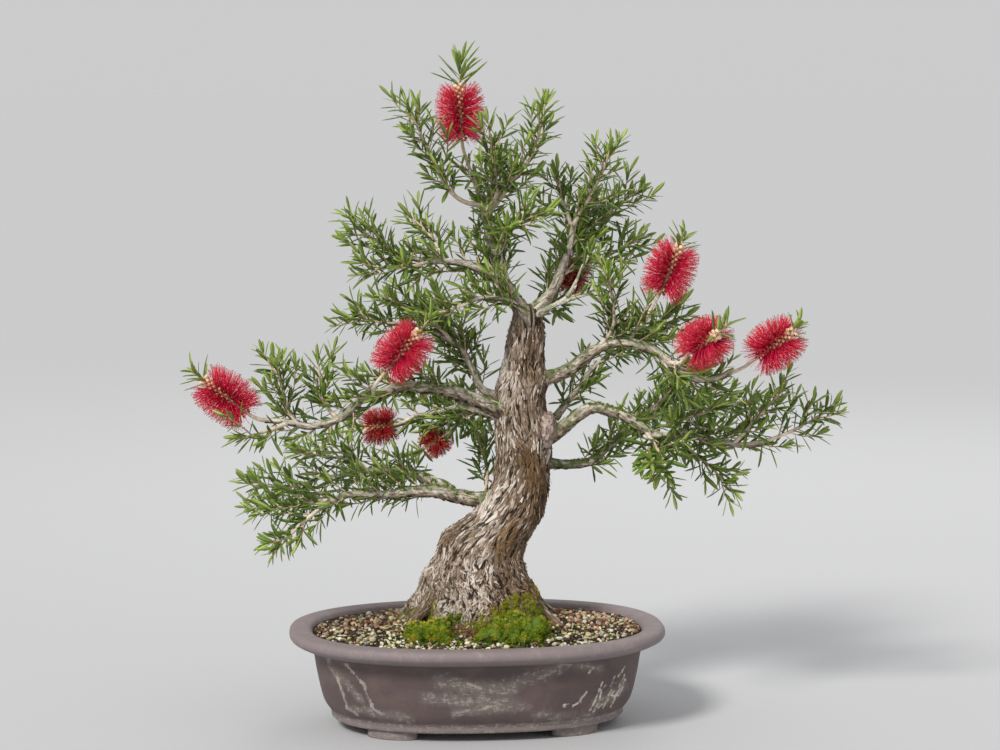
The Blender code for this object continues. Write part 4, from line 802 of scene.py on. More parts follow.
@dataclass(frozen=True)
class Bark:
    """Fibrous grey bark. Its "grain" follows the wood, and its "shade" holds crevices, paleness and moss. The crevices'
    darkening is partly the bark's dark fissures and partly painted shade, and the paleness holds painted highlight on
    the lit sides.
    """

    name: str = "fibrous_bark"
    across: float = 330.0
    lengthwise: float = 34.0
    crevice: Colour = shown("2b211a")
    brown: Colour = shown("574536")
    tan: Colour = shown("8a7866")
    pale: Colour = shown("d6cfc4")
    rust: Colour = shown("855c3b")
    moss: Colour = shown("576124")
    lichen: Colour = shown("808f66")

    def made(self) -> Finish:
        """Makes the material."""
        shader = Shader(self.name)
        grain = shader.kept("grain")
        deep, pale, green = shader.parts(shader.kept("shade"))
        strips = shader.noise(grain, (self.across, self.across, self.lengthwise), 4.0, 0.5)
        fibres = shader.noise(grain, (self.across * 4, self.across * 4, self.lengthwise * 3.5), 3.0)
        patches = shader.noise(grain, (38, 38, 20), 3.0)
        tone = strips * 0.75 + fibres * 0.35 + pale * 0.3 - 0.17
        colour = shader.ramp(tone, [(0.22, self.crevice), (0.38, self.brown), (0.52, self.tan), (0.68, self.pale)])
        colour = shader.mix(patches.above(0.52, 0.68) * (1.0 - pale) * 0.55, colour, self.rust)
        # Crevices darkened: partly the fissures' own colour, partly painted shade.
        colour = shader.mix((deep + strips * 0.3 - 0.15).above(0.22, 0.72) * 0.92, colour, self.crevice)
        spots = shader.noise(grain, (170, 170, 110), 4.0)
        lichen = (patches + spots * 0.5).above(0.66, 0.86) * pale.above(0.70, 0.90)
        colour = shader.mix(lichen * 0.7, colour, self.lichen)
        colour = shader.mix((green + spots * 0.9 - 0.45).above(0.35, 0.75) * 0.85, colour, self.moss)
        relief = strips * 0.7 + fibres * 0.4
        return shader.finish(colour, 0.9, relief, 0.0022, 0.9)


@dataclass(frozen=True)
class Flake:
    """Curled bark strips. Their "shade" holds a tone, a moss share and a rust share. The tone holds painted highlight
    on the lit left side and on upward faces, and painted shade on the right side.
    """

    dark: Colour = shown("453629")
    tan: Colour = shown("8c7866")
    pale: Colour = shown("d9cfc4")
    moss: Colour = shown("5c6129")
    rust: Colour = shown("8f6e47")

    def made(self) -> Finish:
        """Makes the material."""
        shader = Shader("bark_flake")
        tone, green, rust = shader.parts(shader.kept("shade"))
        fine = shader.noise(shader.place(), (900, 900, 170), 3.0)
        shade = tone * 0.8 + fine * 0.5 - 0.15
        colour = shader.ramp(shade, [(0.05, self.dark), (0.45, self.tan), (0.85, self.pale)])
        colour = shader.mix(rust * (1.1 - tone), colour, self.rust)
        colour = shader.mix(green, colour, self.moss)
        return shader.finish(colour, 0.9, fine, 0.0006, 0.6)


@dataclass(frozen=True)
class Grit:
    """A flecked finish. Where it has no colour of its own, each piece's "shade" is its colour."""

    name: str
    base: Colour | None
    fleck: Colour
    scale: float
    edges: Pair
    share: float
    depth: float
    gloss: Pair = (0.8, 0.2)

    def made(self) -> Finish:
        """Makes the material."""
        roughness, specular = self.gloss
        shader = Shader(self.name, specular)
        fine = shader.noise(shader.place(), self.scale, 4.0)
        colour = shader.mix(fine.above(*self.edges) * self.share, self.base or shader.kept("shade"), self.fleck)
        return shader.finish(colour, roughness, fine, self.depth, 0.8)


@dataclass(frozen=True)
class Frond:
    """A soft plant part whose colour goes from one to another by its "shade"."""

    name: str
    first: Colour
    second: Colour
    third: Colour
    roughness: float = 0.5
    along: float = 0.35
    speck: float = 500.0
    patchy: float = 0.25
    relief: float = 0.0002

    def made(self) -> Finish:
        """Makes the material. The shade's first part picks the colour, and its third lightens the end."""
        shader = Shader(self.name, 0.45)
        tone, wander, along = shader.parts(shader.kept("shade"))
        fine = shader.noise(shader.place(), self.speck, 2.0)
        mixed = tone * 0.75 + wander * 0.3 + along * self.along + (fine - 0.5) * self.patchy - 0.075
        colour = shader.ramp(mixed, [(0.0, self.first), (0.5, self.second), (1.0, self.third)])
        return shader.finish(colour, self.roughness, fine, self.relief, 0.4)


EARTH = Grit("damp_soil", shown("211a14"), shown("4a3d29"), 260.0, (0.42, 0.66), 1.0, 0.003, (0.95, 0.2))
STONE = Grit("gravel_stone", None, shown("574738"), 700.0, (0.40, 0.80), 0.3, 0.0005, (0.8, 0.4))
PLASTIC = Grit("dusty_plastic", shown("1a1f1c"), shown("52473b"), 240.0, (0.5, 0.8), 0.6, 0.0002, (0.5, 0.5))
LIMB_BARK = Bark(
    "limb_bark", 460.0, 120.0, brown=shown("6b5c4a"), tan=shown("a39480"), pale=shown("e6ded1"), moss=shown("546133"),
)
CALLUS_BARK = Bark("callus_bark", 190.0, 80.0, brown=shown("614f45"), tan=shown("948075"), pale=shown("c7b5ab"))
LEAF = Frond("bottlebrush_leaf", shown("40521f"), shown("6e8736"), shown("adbf5e"), 0.5)
TWIG = Frond("young_twig", shown("ebe0d1"), shown("c7a887"), shown("806647"), 0.8, 0.1, 330.0, 1.3, 0.0012)
MOSS_BLADE = Frond("moss_blade", shown("212b08"), shown("809c17"), shown("ccad40"), 0.75)
FILAMENT = Frond("crimson_filament", shown("bd0a33"), shown("ed1c54"), shown("f77a80"), 0.5, 0.12)
# Darker, duller reds for the rear flowers' filaments: painted shade for flowers that sit deeper in the crown.
SHADED_FILAMENT = Frond("shaded_filament", shown("800a1a"), shown("b81a2b"), shown("c25742"), 0.5, 0.12)
ANTHER = Frond("anther", shown("751214"), shown("b25433"), shown("dbb266"), 0.6)
CALYX = Frond("flower_cup", shown("9e3d30"), shown("d18f6e"), shown("f7e6c4"), 0.55)


def oval(half: float, angles: Array, height: float | Array) -> Array:
    """Points of the pot's oval in some directions, from half its length."""
    inset, power = 0.050, 2.35
    depth = max(half - inset, half * 0.5)
    spread = (np.abs(np.cos(angles)) / half) ** power + (np.abs(np.sin(angles)) / depth) ** power
    reach = spread ** (-1 / power)
    return side_by_side(reach * np.cos(angles), reach * np.sin(angles), height)


# Dull lime streaks on the pot's front, and bright slanting marks beside them: points across and up in millimetres.
STREAKS = [
    [(-165, 84), (-164, 75.5), (-156, 64), (-150, 47), (-146, 32.5), (-136, 26)],
    [(-148, 82.5), (-140, 74.5), (-131, 63.5), (-125, 49.5), (-120, 36), (-110, 31.5)],
    [(-33, 35.5), (-20, 38.5)], [(-6, 40.5), (8, 43.5)], [(-22, 68), (-9, 63)],
]
MARKS = [
    [(92, 37.5), (99, 41), (106, 52)], [(81, 38.5), (86, 40.5)], [(116, 28), (122, 38), (123.5, 51.5), (129, 56.5)],
    [(121, 31), (130, 37), (136, 49)], [(137, 28.5), (142, 41.5), (153, 56.5)], [(132, 44), (146, 40), (150, 49)],
    [(112, 30), (118, 44)], [(143, 62), (151, 71)], [(109, 73), (113, 78)], [(127, 30), (133, 43), (139, 47)],
    [(118, 44), (125, 60)], [(134, 52), (139, 63)], [(146, 51), (152, 62)],
]
# Hazy, flecked patches of lime there, with their half-width.
PATCHES = [
    ([(-142, 32), (-124, 34.5)], 6), ([(-120, 31.5), (-83, 27.5)], 8.5), ([(-159, 73.5), (-133, 44.5)], 5),
    ([(-52, 71.5), (-9, 62), (23, 58)], 11), ([(1, 61), (39, 70.5), (78, 82)], 10), ([(-9, 50), (34, 41.5)], 11),
    ([(-35, 35.5), (12, 40), (43, 39)], 7), ([(52, 29), (112, 23.5)], 8), ([(118, 36), (150, 48)], 11),
    ([(-64, 52), (-20, 48)], 10), ([(75, 87.5), (121, 77)], 6),
]


@dataclass
class Pot:
    """The oval clay pot: a smooth turned profile with a rolled rim, drain holes and four feet."""

    around: int = 560
    rows: int = 104
    shoulder: float = 0.0885
    back_streaks: int = 16
    drain_radius: float = 0.0125
    foot_height: float = 0.010
    foot_size: Pair = (0.056, 0.026)
    foot_place: Pair = (0.098, 0.074)
    foot_turn: float = math.radians(25)
    profile: Sequence[Pair] = (
        (130, 10), (150, 10), (157.5, 10), (160, 12.5), (159, 16.5), (162, 20), (169, 32), (175.2, 58.5), (178.5, 78),
        (181.5, 85.5), (194, 90.5), (203.5, 96), (205, 101.5), (202, 106.2), (193, 107.5), (184, 106.2), (180, 102),
        (176.5, 90), (162, 37), (149, 23.5), (135, 19), (120, 19),
    )

    def build(self, clay: Finish) -> None:
        """Makes the pot and its feet."""
        self.bowl(clay)
        self.feet(clay)

    def bowl(self, clay: Finish) -> Thing:
        """The pot's wall and floor, with its two drain holes."""
        profile = np.array(self.profile) / 1000
        line = Line.through(np.insert(profile, 1, 0.0, axis=1), 12)
        marks = line.at(np.linspace(0.0, line.length, self.rows))
        angles = all_round(self.around)
        (_, low), (widest, high) = profile.min(axis=0), profile.max(axis=0)
        rows = [oval(CORE_HALF, angles, low)]
        rows += [oval(min(half, widest), angles, min(max(z, low), high)) for half, _, z in marks]
        rows.append(oval(CORE_HALF, angles, profile[-1][1]))
        points = np.array(rows)
        pot = roll("pot_bowl", points + SHIFT, {"stain": self.stains(points)})
        self.drill(pot)
        return show(pot, Slot.CLAY, ["pot"], [clay])

    @staticmethod
    def strokes(x: Array, z: Array, routes: Sequence[Any]) -> Array:
        """How near each point is to any of some strokes, from 0 to 1."""
        nearness = np.zeros(x.shape)
        for route, wide in routes:
            for (x_a, z_a), (across, up) in legs([route]):
                share = np.clip(((x - x_a) * across + (z - z_a) * up) / (across**2 + up**2), 0.0, 1.0)
                away = np.hypot(x - x_a - across * share, z - z_a - up * share)
                nearness = np.maximum(nearness, hump(away * 1000, wide))
        return nearness

    def stains(self, points: Array) -> Array:
        """How near the rim, how hazy and whether in front each point of the wall is."""
        x, y, z = (points[..., axis] for axis in range(3))
        outer, front = z < self.shoulder, y < 0
        patch = front * self.strokes(x, z, PATCHES)
        rng = Random("back streaks")
        for _ in range(self.back_streaks):
            middle, tall, wide = rng.uniform(-0.15, 0.15), rng.uniform(0.03, 0.085), rng.uniform(0.004, 0.012)
            away = np.abs(x - middle - rng.uniform(-0.5, 0.5) * (z - tall)) / wide
            reach = np.clip(1.2 - np.abs(z - tall) / 0.03, 0.0, 1.0)
            patch = np.maximum(patch, ~front * np.exp(-(away**2)) * reach * 0.9)
        rim = np.clip((z - 0.0870) / 0.004, 0.0, 1.0) + 0.75 * hump(z - 0.0130, 0.0065, 4)
        base = 1.3 * hump(z - 0.0185, 0.0030) + 1.1 * hump(z - 0.0112, 0.0024)
        return side_by_side(rim, np.maximum(patch * outer, base), front & outer)

    def drill(self, pot: Thing) -> None:
        """Cuts the drain holes."""
        for side in (-1, 1):
            place = SHIFT + (side * DRAIN_X, 0.0, 0.014)
            cutter = added("cylinder", vertices=48, radius=self.drain_radius, depth=0.05, location=place)
            worked(pot, "BOOLEAN", operation="DIFFERENCE", object=cutter, solver="EXACT")
            bpy.data.objects.remove(cutter, do_unlink=True)

    def feet(self, clay: Finish) -> Thing:
        """Four soft-edged oval feet under the base."""
        tall = self.foot_height + 0.002
        foot = added("cylinder", vertices=64, radius=0.5, depth=tall, location=(0.0, 0.0, tall / 2))
        foot.scale = (*self.foot_size, 1.0)
        bpy.ops.object.transform_apply()
        worked(foot, "BEVEL", width=0.0016, segments=3, limit_method="ANGLE")
        stamp = Stamp.lifted(foot)
        feet = Collage()
        for x_side in (-1, 1):
            for y_side in (-1, 1):
                turn = np.array(Matrix.Rotation(x_side * y_side * self.foot_turn, 3, "Z"))
                place = SHIFT + (x_side * self.foot_place[0], y_side * self.foot_place[1], 0.0)
                feet.press(stamp, turn, place, (0.8, 0.9, 0.0))
        return show(feet.piece("pot_feet", "stain"), Slot.CLAY, ["pot"], [clay])


@dataclass
class DrainMesh:
    """A square plastic lattice, cut round, over one drain hole."""

    side: int
    radius: float = 0.018
    bottom: float = 0.0193
    pitch: float = 0.0036
    bar: float = 0.0011
    heights: Pair = (0.0012, 0.0010)
    hoop: float = 0.0014
    links: int = 48

    def build(self, plastic: Finish) -> Thing:
        """Makes one lattice disc."""
        block = Stamp.lifted(added("cube", size=1), False)
        collage = Collage()
        centre = SHIFT + (self.side * DRAIN_X, 0.0, self.bottom + 0.00075)
        count = int(self.radius / self.pitch)
        (lower, upper), grey = self.heights, (0.5, 0.5, 0.5)
        for step in range(-count, count + 1):
            offset = step * self.pitch
            reach = 2 * math.sqrt(self.radius**2 - offset**2) - 0.002
            collage.press(block, np.diag([reach, self.bar, lower]), centre + (0.0, offset, 0.0), grey)
            collage.press(block, np.diag([self.bar, reach, upper]), centre + (offset, 0.0, 0.0), grey)
        for angle in all_round(self.links):
            cosine, sine = math.cos(angle), math.sin(angle)
            out, side = np.array([(cosine, sine, 0.0), (-sine, cosine, 0.0)])
            axes = np.array([out * self.hoop, side * self.radius * 0.14, (0.0, 0.0, self.hoop)])
            collage.press(block, axes, centre + out * (self.radius - 0.0008), grey)
        name = "drain_mesh_" + ("left" if self.side < 0 else "right")
        return show(collage.piece(name + "_lattice"), Slot.MESH, [name], [plastic])


def trunk_at(heights: Array) -> Array:
    """Centre, width and depth of the trunk at some heights."""
    table = np.array(TRUNK) / 1000
    return np.stack([np.interp(heights, table[:, 2], table[:, axis]) for axis in (0, 1, 3, 4)], axis=-1)


# The trunk's sections in millimetres: centre across and in depth, height, width and depth.
TRUNK = [
    (2, 4, 62, 104, 94), (1, 2, 90, 132, 116), (0, 0, 112, 162, 140), (3, 0, 128, 150, 130), (3, 0, 148, 127, 110),
    (0, 0, 165, 111, 97), (2, 0, 182, 95, 85), (8, 0, 200, 92, 81), (16, 0, 211, 90, 79), (33, 0, 230, 78, 70),
    (42, 0, 247, 67, 61), (48, 0, 266, 59, 54), (50, 0, 292, 56, 52), (46, 0, 340, 51, 47), (45, 0, 364, 47, 43),
    (50, 0, 394, 40, 38), (54, 0, 425, 36, 34), (55, 0, 446, 30, 29),
]
# Where each root runs, in degrees, and how strongly it stands out.
ROOTS = [(182, 0.20), (232, 0.13), (276, 0.17), (322, 0.15), (4, 0.10), (62, 0.16), (118, 0.14)]
# Roots that run out over the soil.
ROOT_ARMS = {
    "right": Branch((10, 4.2), [
        (40, -12, 160), (54, -16, 144), (67, -18, 128), (80, -20, 115), (92, -23, 106), (99, -25, 98),
    ]),
    "left": Branch((9, 4), [(-40, -18, 148), (-55, -23, 129), (-68, -26, 115), (-79, -29, 106), (-86, -31, 98)]),
    "front_left": Branch((8.5, 4), [
        (-25, -28, 144), (-37, -42, 124), (-47, -51, 113), (-55, -56, 105), (-60, -60, 98),
    ]),
    "back": Branch((8, 3), [(18, 42, 142), (26, 58, 124), (33, 70, 113), (38, 80, 106), (42, 87, 97)]),
    "back_left": Branch((8, 3), [(-28, 34, 142), (-44, 48, 124), (-56, 58, 113), (-66, 65, 105), (-72, 70, 97)]),
    "back_right": Branch((8, 3), [(50, 24, 146), (66, 34, 126), (78, 42, 115), (89, 48, 106), (96, 52, 97)]),
}
# Knobs of old wood: centre and radii in millimetres.
BURLS = [
    ((62, 0, 320), (18, 18, 22)), ((-20, -10, 203), (18, 18, 17)), ((-40, -14, 154), (20, 20, 18)),
    ((61, -6, 374), (15, 14, 16)),
]
CALLUS = np.array([(72.5, -4, 321.5), (15, 16, 20.5)]) / 1000
# Paler and browner places on the trunk: middle across and up and radii in millimetres, paleness and gold.
SPOTS = [
    (9, 222, 16, 36, 0.36, 0.0), (33, 205, 17, 40, -0.04, 0.70), (28, 359, 10, 36, 0.28, 0.0),
    (-26, 136, 50, 30, 0.14, 0.0), (30, 133, 36, 20, -0.06, 0.75), (70, 240, 18, 44, -0.12, 0.34),
    (62, 395, 20, 50, -0.12, 0.12),
]


def tinted(points: Array) -> tuple[Array, Array]:
    """How much paler and how golden points of the trunk are, from the front view."""
    paler, gold = np.zeros(points.shape[:-1]), np.zeros(points.shape[:-1])
    for *sizes, pale, golden in SPOTS:
        x, z, wide, tall = np.array(sizes) / 1000
        near = np.exp(-(((points[..., 0] - x) / wide) ** 2) - ((points[..., 2] - z) / tall) ** 2)
        paler, gold = paler + pale * near, gold + golden * near
    return paler, gold


@dataclass
class Trunk:
    """The fluted trunk with its root flare, burls and peeling bark."""

    around: int = 270
    rows: int = 240
    bottom: float = 0.080
    root_top: float = 0.205
    root_bottom: float = 0.115
    root_width: float = math.radians(17)
    crest_width: float = math.radians(11)
    ridge: float = 0.0030
    dome: float = 0.012

    def surface(self, heights: Array, angles: Array) -> tuple[Array, Array, Array]:
        """The trunk's skin at some heights and angles.

        Args:
            heights: one height for each ring.
            angles: directions round it.

        Returns:
            The points in the tree's front view, their grain coordinates and how deep in a crevice each is.
        """
        sections = trunk_at(heights)
        x, y, width, depth = (sections[:, axis][:, None] for axis in range(4))
        low = np.clip((self.root_top - heights) / (self.root_top - self.root_bottom), 0, 1)[:, None]
        swell = np.ones((len(heights), len(angles)))
        for direction, strength in ROOTS:
            away = (angles - math.radians(direction) + math.pi) % math.tau - math.pi
            swell += strength * low * (hump(away, self.root_width) - 0.11)
            swell += 0.10 * low**3 * (hump(away, self.crest_width) - 0.14)
        z = heights[:, None]
        swell += 0.045 * (np.sin(4 * angles + 22 * z) + 0.6 * np.sin(7 * angles - 15 * z))
        radius = (width + depth) / 4
        grain = side_by_side(radius * swell * np.cos(angles), radius * swell * np.sin(angles), z)
        wander = coarse_noise(grain, 3, (20, 20, 22), 1)
        bent = grain.copy()
        bent[..., 0] += 0.004 * wander
        bent[..., 1] -= 0.004 * wander
        strips = 1 - np.abs(grain_noise(bent, (160, 160, 24), 3)) * 2.4
        coarse = grain_noise(bent, (60, 60, 22), 2)
        flare = 0.55 + 0.75 * low
        lift = self.ridge * flare * (0.55 - strips.clip(0, 1) ** 2 * 1.1) + 0.0018 * flare * coarse
        slim = 1 - 0.055 * low
        points = side_by_side(
            x + (width / 2 * swell * slim + lift) * np.cos(angles),
            y + (depth / 2 * swell * slim + lift) * np.sin(angles), z,
        )
        for middle, radii in np.array(BURLS) / 1000:
            near = np.exp(-(((points - middle) / (radii * 0.95)) ** 2).sum(axis=-1))
            points += side_by_side(np.cos(angles), np.sin(angles), 0.0) * (near * 0.010)[..., None]
        return points, bent, strips.clip(0, 1)

    def build(self, finishes: Sequence[Finish]) -> Thing:
        """Makes the trunk's skin."""
        heights = np.linspace(self.bottom, TRUNK[-1][2] / 1000, self.rows)
        angles = all_round(self.around)
        points, grain, strips = self.surface(heights, angles)
        centre = points[-1].mean(axis=0)
        for share in (0.80, 0.45, 0.10):
            rise = self.dome * math.sqrt(1 - share * share)
            ring = centre + (points[self.rows - 1] - centre) * share + (0.0, 0.0, rise)
            points = np.concatenate([points, ring[None]])
            grain = np.concatenate([grain, grain[-1:] + (0.0, 0.0, rise)])
            strips = np.concatenate([strips, strips[-1:]])
        high = np.clip((points[..., 2] - 0.12) / 0.30, 0, 1)
        green = np.clip((0.150 - points[..., 2]) / 0.045, 0, 1) * 0.75
        # Paler on the left, where the key light falls: a painted highlight. The crevice share (strips squared) darkens
        # the fissures, partly their own dark bark and partly painted shade.
        left = np.clip((0.02 - grain[..., 0]) / 0.04, 0, 1)
        pale = np.clip(0.26 + 0.25 * left + 0.06 * high + tinted(points)[0], 0, 0.76)
        trunk = roll("trunk_bark", placed(points), {"grain": grain, "shade": side_by_side(strips**2, pale, green)})
        return show(trunk, Slot.BARK, ["tree_wood"], finishes)


@dataclass
class Callus:
    """The smooth old swelling that the right limbs leave the trunk by."""

    rings: int = 44
    around: int = 56

    def build(self, bark: Finish) -> Thing:
        """Makes the swelling."""
        leans = np.linspace(-1.5, 1.5, self.rings)[:, None]
        turns = all_round(self.around)[None, :]
        out = side_by_side(np.cos(leans) * np.cos(turns), np.cos(leans) * np.sin(turns), np.sin(leans))
        middle, radii = CALLUS
        lumps = grain_noise(out, (1.9, 1.9, 1.9), 2)
        cracks = 1 - np.abs(grain_noise(out, (4.5, 4.5, 4.0), 2)) * 3
        points = middle + out * radii * (1 + 0.16 * lumps - 0.07 * cracks.clip(0, 1) ** 3)[..., None]
        # Cracks are darkened as crevices: partly their own colour, partly painted shade.
        shade = side_by_side(0.75 * cracks.clip(0, 1) ** 3, 0.55 + 0.15 * lumps, 0.0)
        return show(roll("callus", placed(points), {"grain": points, "shade": shade}), Slot.BARK, ["tree_wood"], [bark])


@dataclass
class Flakes:
    """Slivers of bark that stand off the trunk, or off the thicker limbs."""

    name: str
    count: int = 0
    length: Pair = (0.0045, 0.0140)
    width: Pair = (0.0011, 0.0027)
    heights: Pair = (0.160, 0.443)
    edges: Sequence[Pair] = ((0.155, 0.0), (0.215, 1.0))
    unruly: float = 0.15
    wavy: float = 0.7
    flatness: float = 0.9
    tone: float = 0.33
    limb_length: Pair = (0.003, 0.011)
    limb_width: Pair = (0.0008, 0.0018)
    limb_density: float = 60000.0
    flaky_radius: float = 0.0045
    sides: int = 20
    around: int = 180
    height_step: float = 0.002

    def __post_init__(self) -> None:
        """Models a few unlike slivers, each a unit long and a unit wide."""
        self.slivers = []
        rng = Random("slivers")
        for _ in range(7):
            rows = []
            for share, wide in ((0.0, 0.35), (0.3, 0.95), (0.7, 0.90), (1.0, 0.30)):
                half = 0.5 * wide * rng.uniform(0.7, 1.2)
                ring = np.array([(-half, 0.0, 0.0), (0.0, 0.0, 0.24), (half, 0.0, 0.0), (0.0, 0.0, -0.12)])
                rows.append(ring + (rng.uniform(-0.18, 0.18), share + rng.uniform(-0.06, 0.06), 0.0))
            self.slivers.append(Stamp.lifted(roll("sliver", np.array(rows)), False))

    @staticmethod
    def directions(skin: Array) -> Array:
        """Directions round, along and out of a skin that is given as rings of points."""
        ahead = unit(np.gradient(skin, axis=0))
        round_it = unit(np.roll(skin, -1, axis=1) - np.roll(skin, 1, axis=1))
        return np.array([round_it, ahead, unit(np.cross(round_it, ahead))])

    def stick(self, collage: Collage, axes: Sequence[Array], spot: Array, size: Pair,
              spin: float, shade: Sequence[float], rng: Random) -> None:
        """Sticks one sliver on.

        Args:
            collage: where it goes.
            axes: directions round, along and out of the wood.
            spot: its middle.
            size: its length and width.
            spin: how far it is turned.
            shade: its tone, moss and gold.
            rng: source of small differences.
        """
        side, along, normal = axes
        end = rng.choice((-1.0, 1.0))
        direction = unit((along * math.cos(spin) + side * math.sin(spin)) * end + normal * rng.uniform(-0.02, 0.07))
        across = unit(np.cross(direction, normal))
        thick = size[1] * self.flatness * rng.uniform(0.7, 1.3)
        own_axes = np.array([across * size[1], direction * size[0], np.cross(across, direction) * thick])
        middle = spot + normal * rng.uniform(-0.0005, 0.0005) - direction * size[0] / 2
        collage.press(rng.choice(self.slivers), own_axes, middle, shade, 0, rng.uniform(-0.3, 0.9))

    def on_limbs(self, branches: dict[str, Branch], flake: Finish) -> Thing:
        """Scatters small slivers over the thicker limbs or roots, most of them near the trunk."""
        rng = Random("limb flakes")
        collage = Collage()
        for branch in branches.values():
            line, lengths, radii, skin = branch.skin(0.004, self.sides, 1.03)
            directions = self.directions(skin)
            thick = np.clip((radii - self.flaky_radius) / 0.004, 0, 1)
            count = int(self.limb_density * line.length * math.tau * float((radii * thick).mean()))
            for _ in range(count * 2):
                row, column = rng.randrange(1, len(lengths) - 1), rng.randrange(self.sides)
                if rng.random() > thick[row]:
                    continue
                spot, (side, along, normal) = skin[row, column], directions[:, row, column]
                normal = normal * math.copysign(1.0, normal.dot(spot - line.at(lengths[row])))
                size = (rng.uniform(*self.limb_length), rng.uniform(*self.limb_width))
                # Slivers that face up get a paler tone: a painted highlight where light falls from above.
                tone = share_of(rng.gauss(self.tone + 0.09 + 0.35 * normal[2], 0.2))
                green = max(0.0, rng.gauss(-0.1, 0.3)) if normal[2] > 0.2 else 0.0
                self.stick(collage, (side, along, normal), spot, size, rng.gauss(0.0, 0.2), (tone, green, 0.0), rng)
        return show(collage.piece(self.name), Slot.BARK, ["tree_wood"], [flake])

    def build(self, trunk: Trunk, flake: Finish) -> Thing:
        """Scatters slivers over a part of the trunk's skin."""
        rng = Random(self.name)
        heights = np.arange(*self.heights, self.height_step)
        angles = all_round(self.around)
        points, _, strips = trunk.surface(heights, angles)
        flat = placed(points)
        directions = self.directions(flat)
        weight = np.interp(heights, [0.10, 0.17, 0.22, 0.44], [1.0, 0.80, 0.46, 0.28])
        weight *= np.interp(heights, *zip(*self.edges))
        patches, swirls = (coarse_noise(flat, 4, scale, 2) for scale in ((26, 26, 15), (42, 42, 24)))
        paler, gold = tinted(points)
        callus_middle, callus_radii = CALLUS
        collage = Collage()
        while len(collage.parts) < self.count:
            row, column = rng.randrange(len(heights) - 4), rng.randrange(len(angles))
            if rng.random() > weight[row] or strips[row, column] > 0.6:
                continue
            if (((points[row, column] - callus_middle) / callus_radii) ** 2).sum() < 1.3:
                continue
            size = (rng.uniform(*self.length), rng.uniform(*self.width))
            spin = rng.gauss(self.wavy * swirls[row, column], self.unruly)
            # Slivers on the lit left side get a paler tone (painted highlight); those on the right get a darker tone
            # (painted shade) and more gold.
            on_lit_left = flat[row, column][0] < flat[row].mean(axis=0)[0]
            side = 0.10 if on_lit_left else -0.10
            tone = rng.gauss(self.tone + side + paler[row, column] + 0.60 * patches[row, column], 0.24)
            golden = 0.6 * gold[row, column] - 0.5 * patches[row, column] - side + rng.gauss(-0.1, 0.15)
            green = max(0.0, rng.gauss(0.4, 0.3)) if heights[row] < 0.122 + 0.02 * rng.random() else 0.0
            shade = (share_of(tone), green, min(0.9, max(0.0, golden)))
            self.stick(collage, directions[:, row, column], flat[row, column], size, spin, shade, rng)
        return show(collage.piece(self.name), Slot.BARK, ["tree_wood"], [flake])


# How much greener than the others the damper limbs are.
DAMP = {
    "low_right": 0.34, "upper_right": 0.16, "low_left": 0.10, "mid_right": 0.08, "knob_up": 0.12, "white_twig": -0.5,
    "white_fork": -0.5, "white_tip": -0.5, "right": -0.3, "left": -0.3, "front_left": -0.3,
}


@dataclass
class Limbs:
    """Branches or roots, joined into one piece."""

    name: str
    branches: dict[str, Branch]
    pale: float = 0.62
    ring_step: float = 0.0028
    sides: int = 18

    def build(self, finishes: Sequence[Finish]) -> Thing:
        """Makes the branches."""
        collage = Collage()
        grains = []
        for index, (name, branch) in enumerate(self.branches.items()):
            line, lengths, radii, rows = branch.skin(self.ring_step, self.sides)
            arms = unit(rows - line.at(lengths)[:, None])
            turn = all_round(self.sides)
            wide = radii[:, None]
            grain = side_by_side(np.cos(turn) * wide + index * 0.5, np.sin(turn) * wide, lengths[:, None])
            knots = grain_noise(grain, (160, 160, 80), 3)
            ridges = 1 - np.abs(grain_noise(grain, (330, 330, 70), 2)) * 3
            rough = 0.24 * knots - 0.20 * ridges.clip(0, 1) ** 2 + 0.05
            rows = rows + arms * (rough * wide)[..., None]
            up = arms[..., 2]
            green = 0.36 + DAMP.get(name, 0.0) + 0.55 * knots - 0.35 * (lengths / line.length)[:, None] + 0.20 * up
            # Upper sides are painted paler (painted highlight) and lower sides darker through deep (painted shade);
            # ridges darken as crevices, partly their own colour and partly painted shade.
            pale = self.pale + 0.40 * up + (0.4 if "white" in name else 0.0)
            deep = 0.04 + 0.6 * ridges.clip(0, 1) ** 2 + 0.2 * knots - 0.30 * up
            collage.tube(rows, side_by_side(deep, pale, green), 0)
            grains.append(np.vstack([grain.reshape(-1, 3), grain[-1, 0]]))
        limbs = collage.piece(self.name)
        keep(limbs, "grain", np.concatenate(grains))
        return show(limbs, Slot.BARK, ["tree_wood"], finishes)


SOIL_EDGE_Z, SOIL_CROWN_Z = 0.1015, 0.1165
SOIL_HALF = (0.1755, 0.1255)


def soil_height(x: Array | float, y: Array | float) -> Array:
    """Height of the soil, mounded round the trunk."""
    out = np.minimum(1.0, np.hypot(np.asarray(x) / SOIL_HALF[0], np.asarray(y) / SOIL_HALF[1]))
    return SOIL_EDGE_Z + (SOIL_CROWN_Z - SOIL_EDGE_Z) * np.cos(out * math.pi / 2) ** 1.2


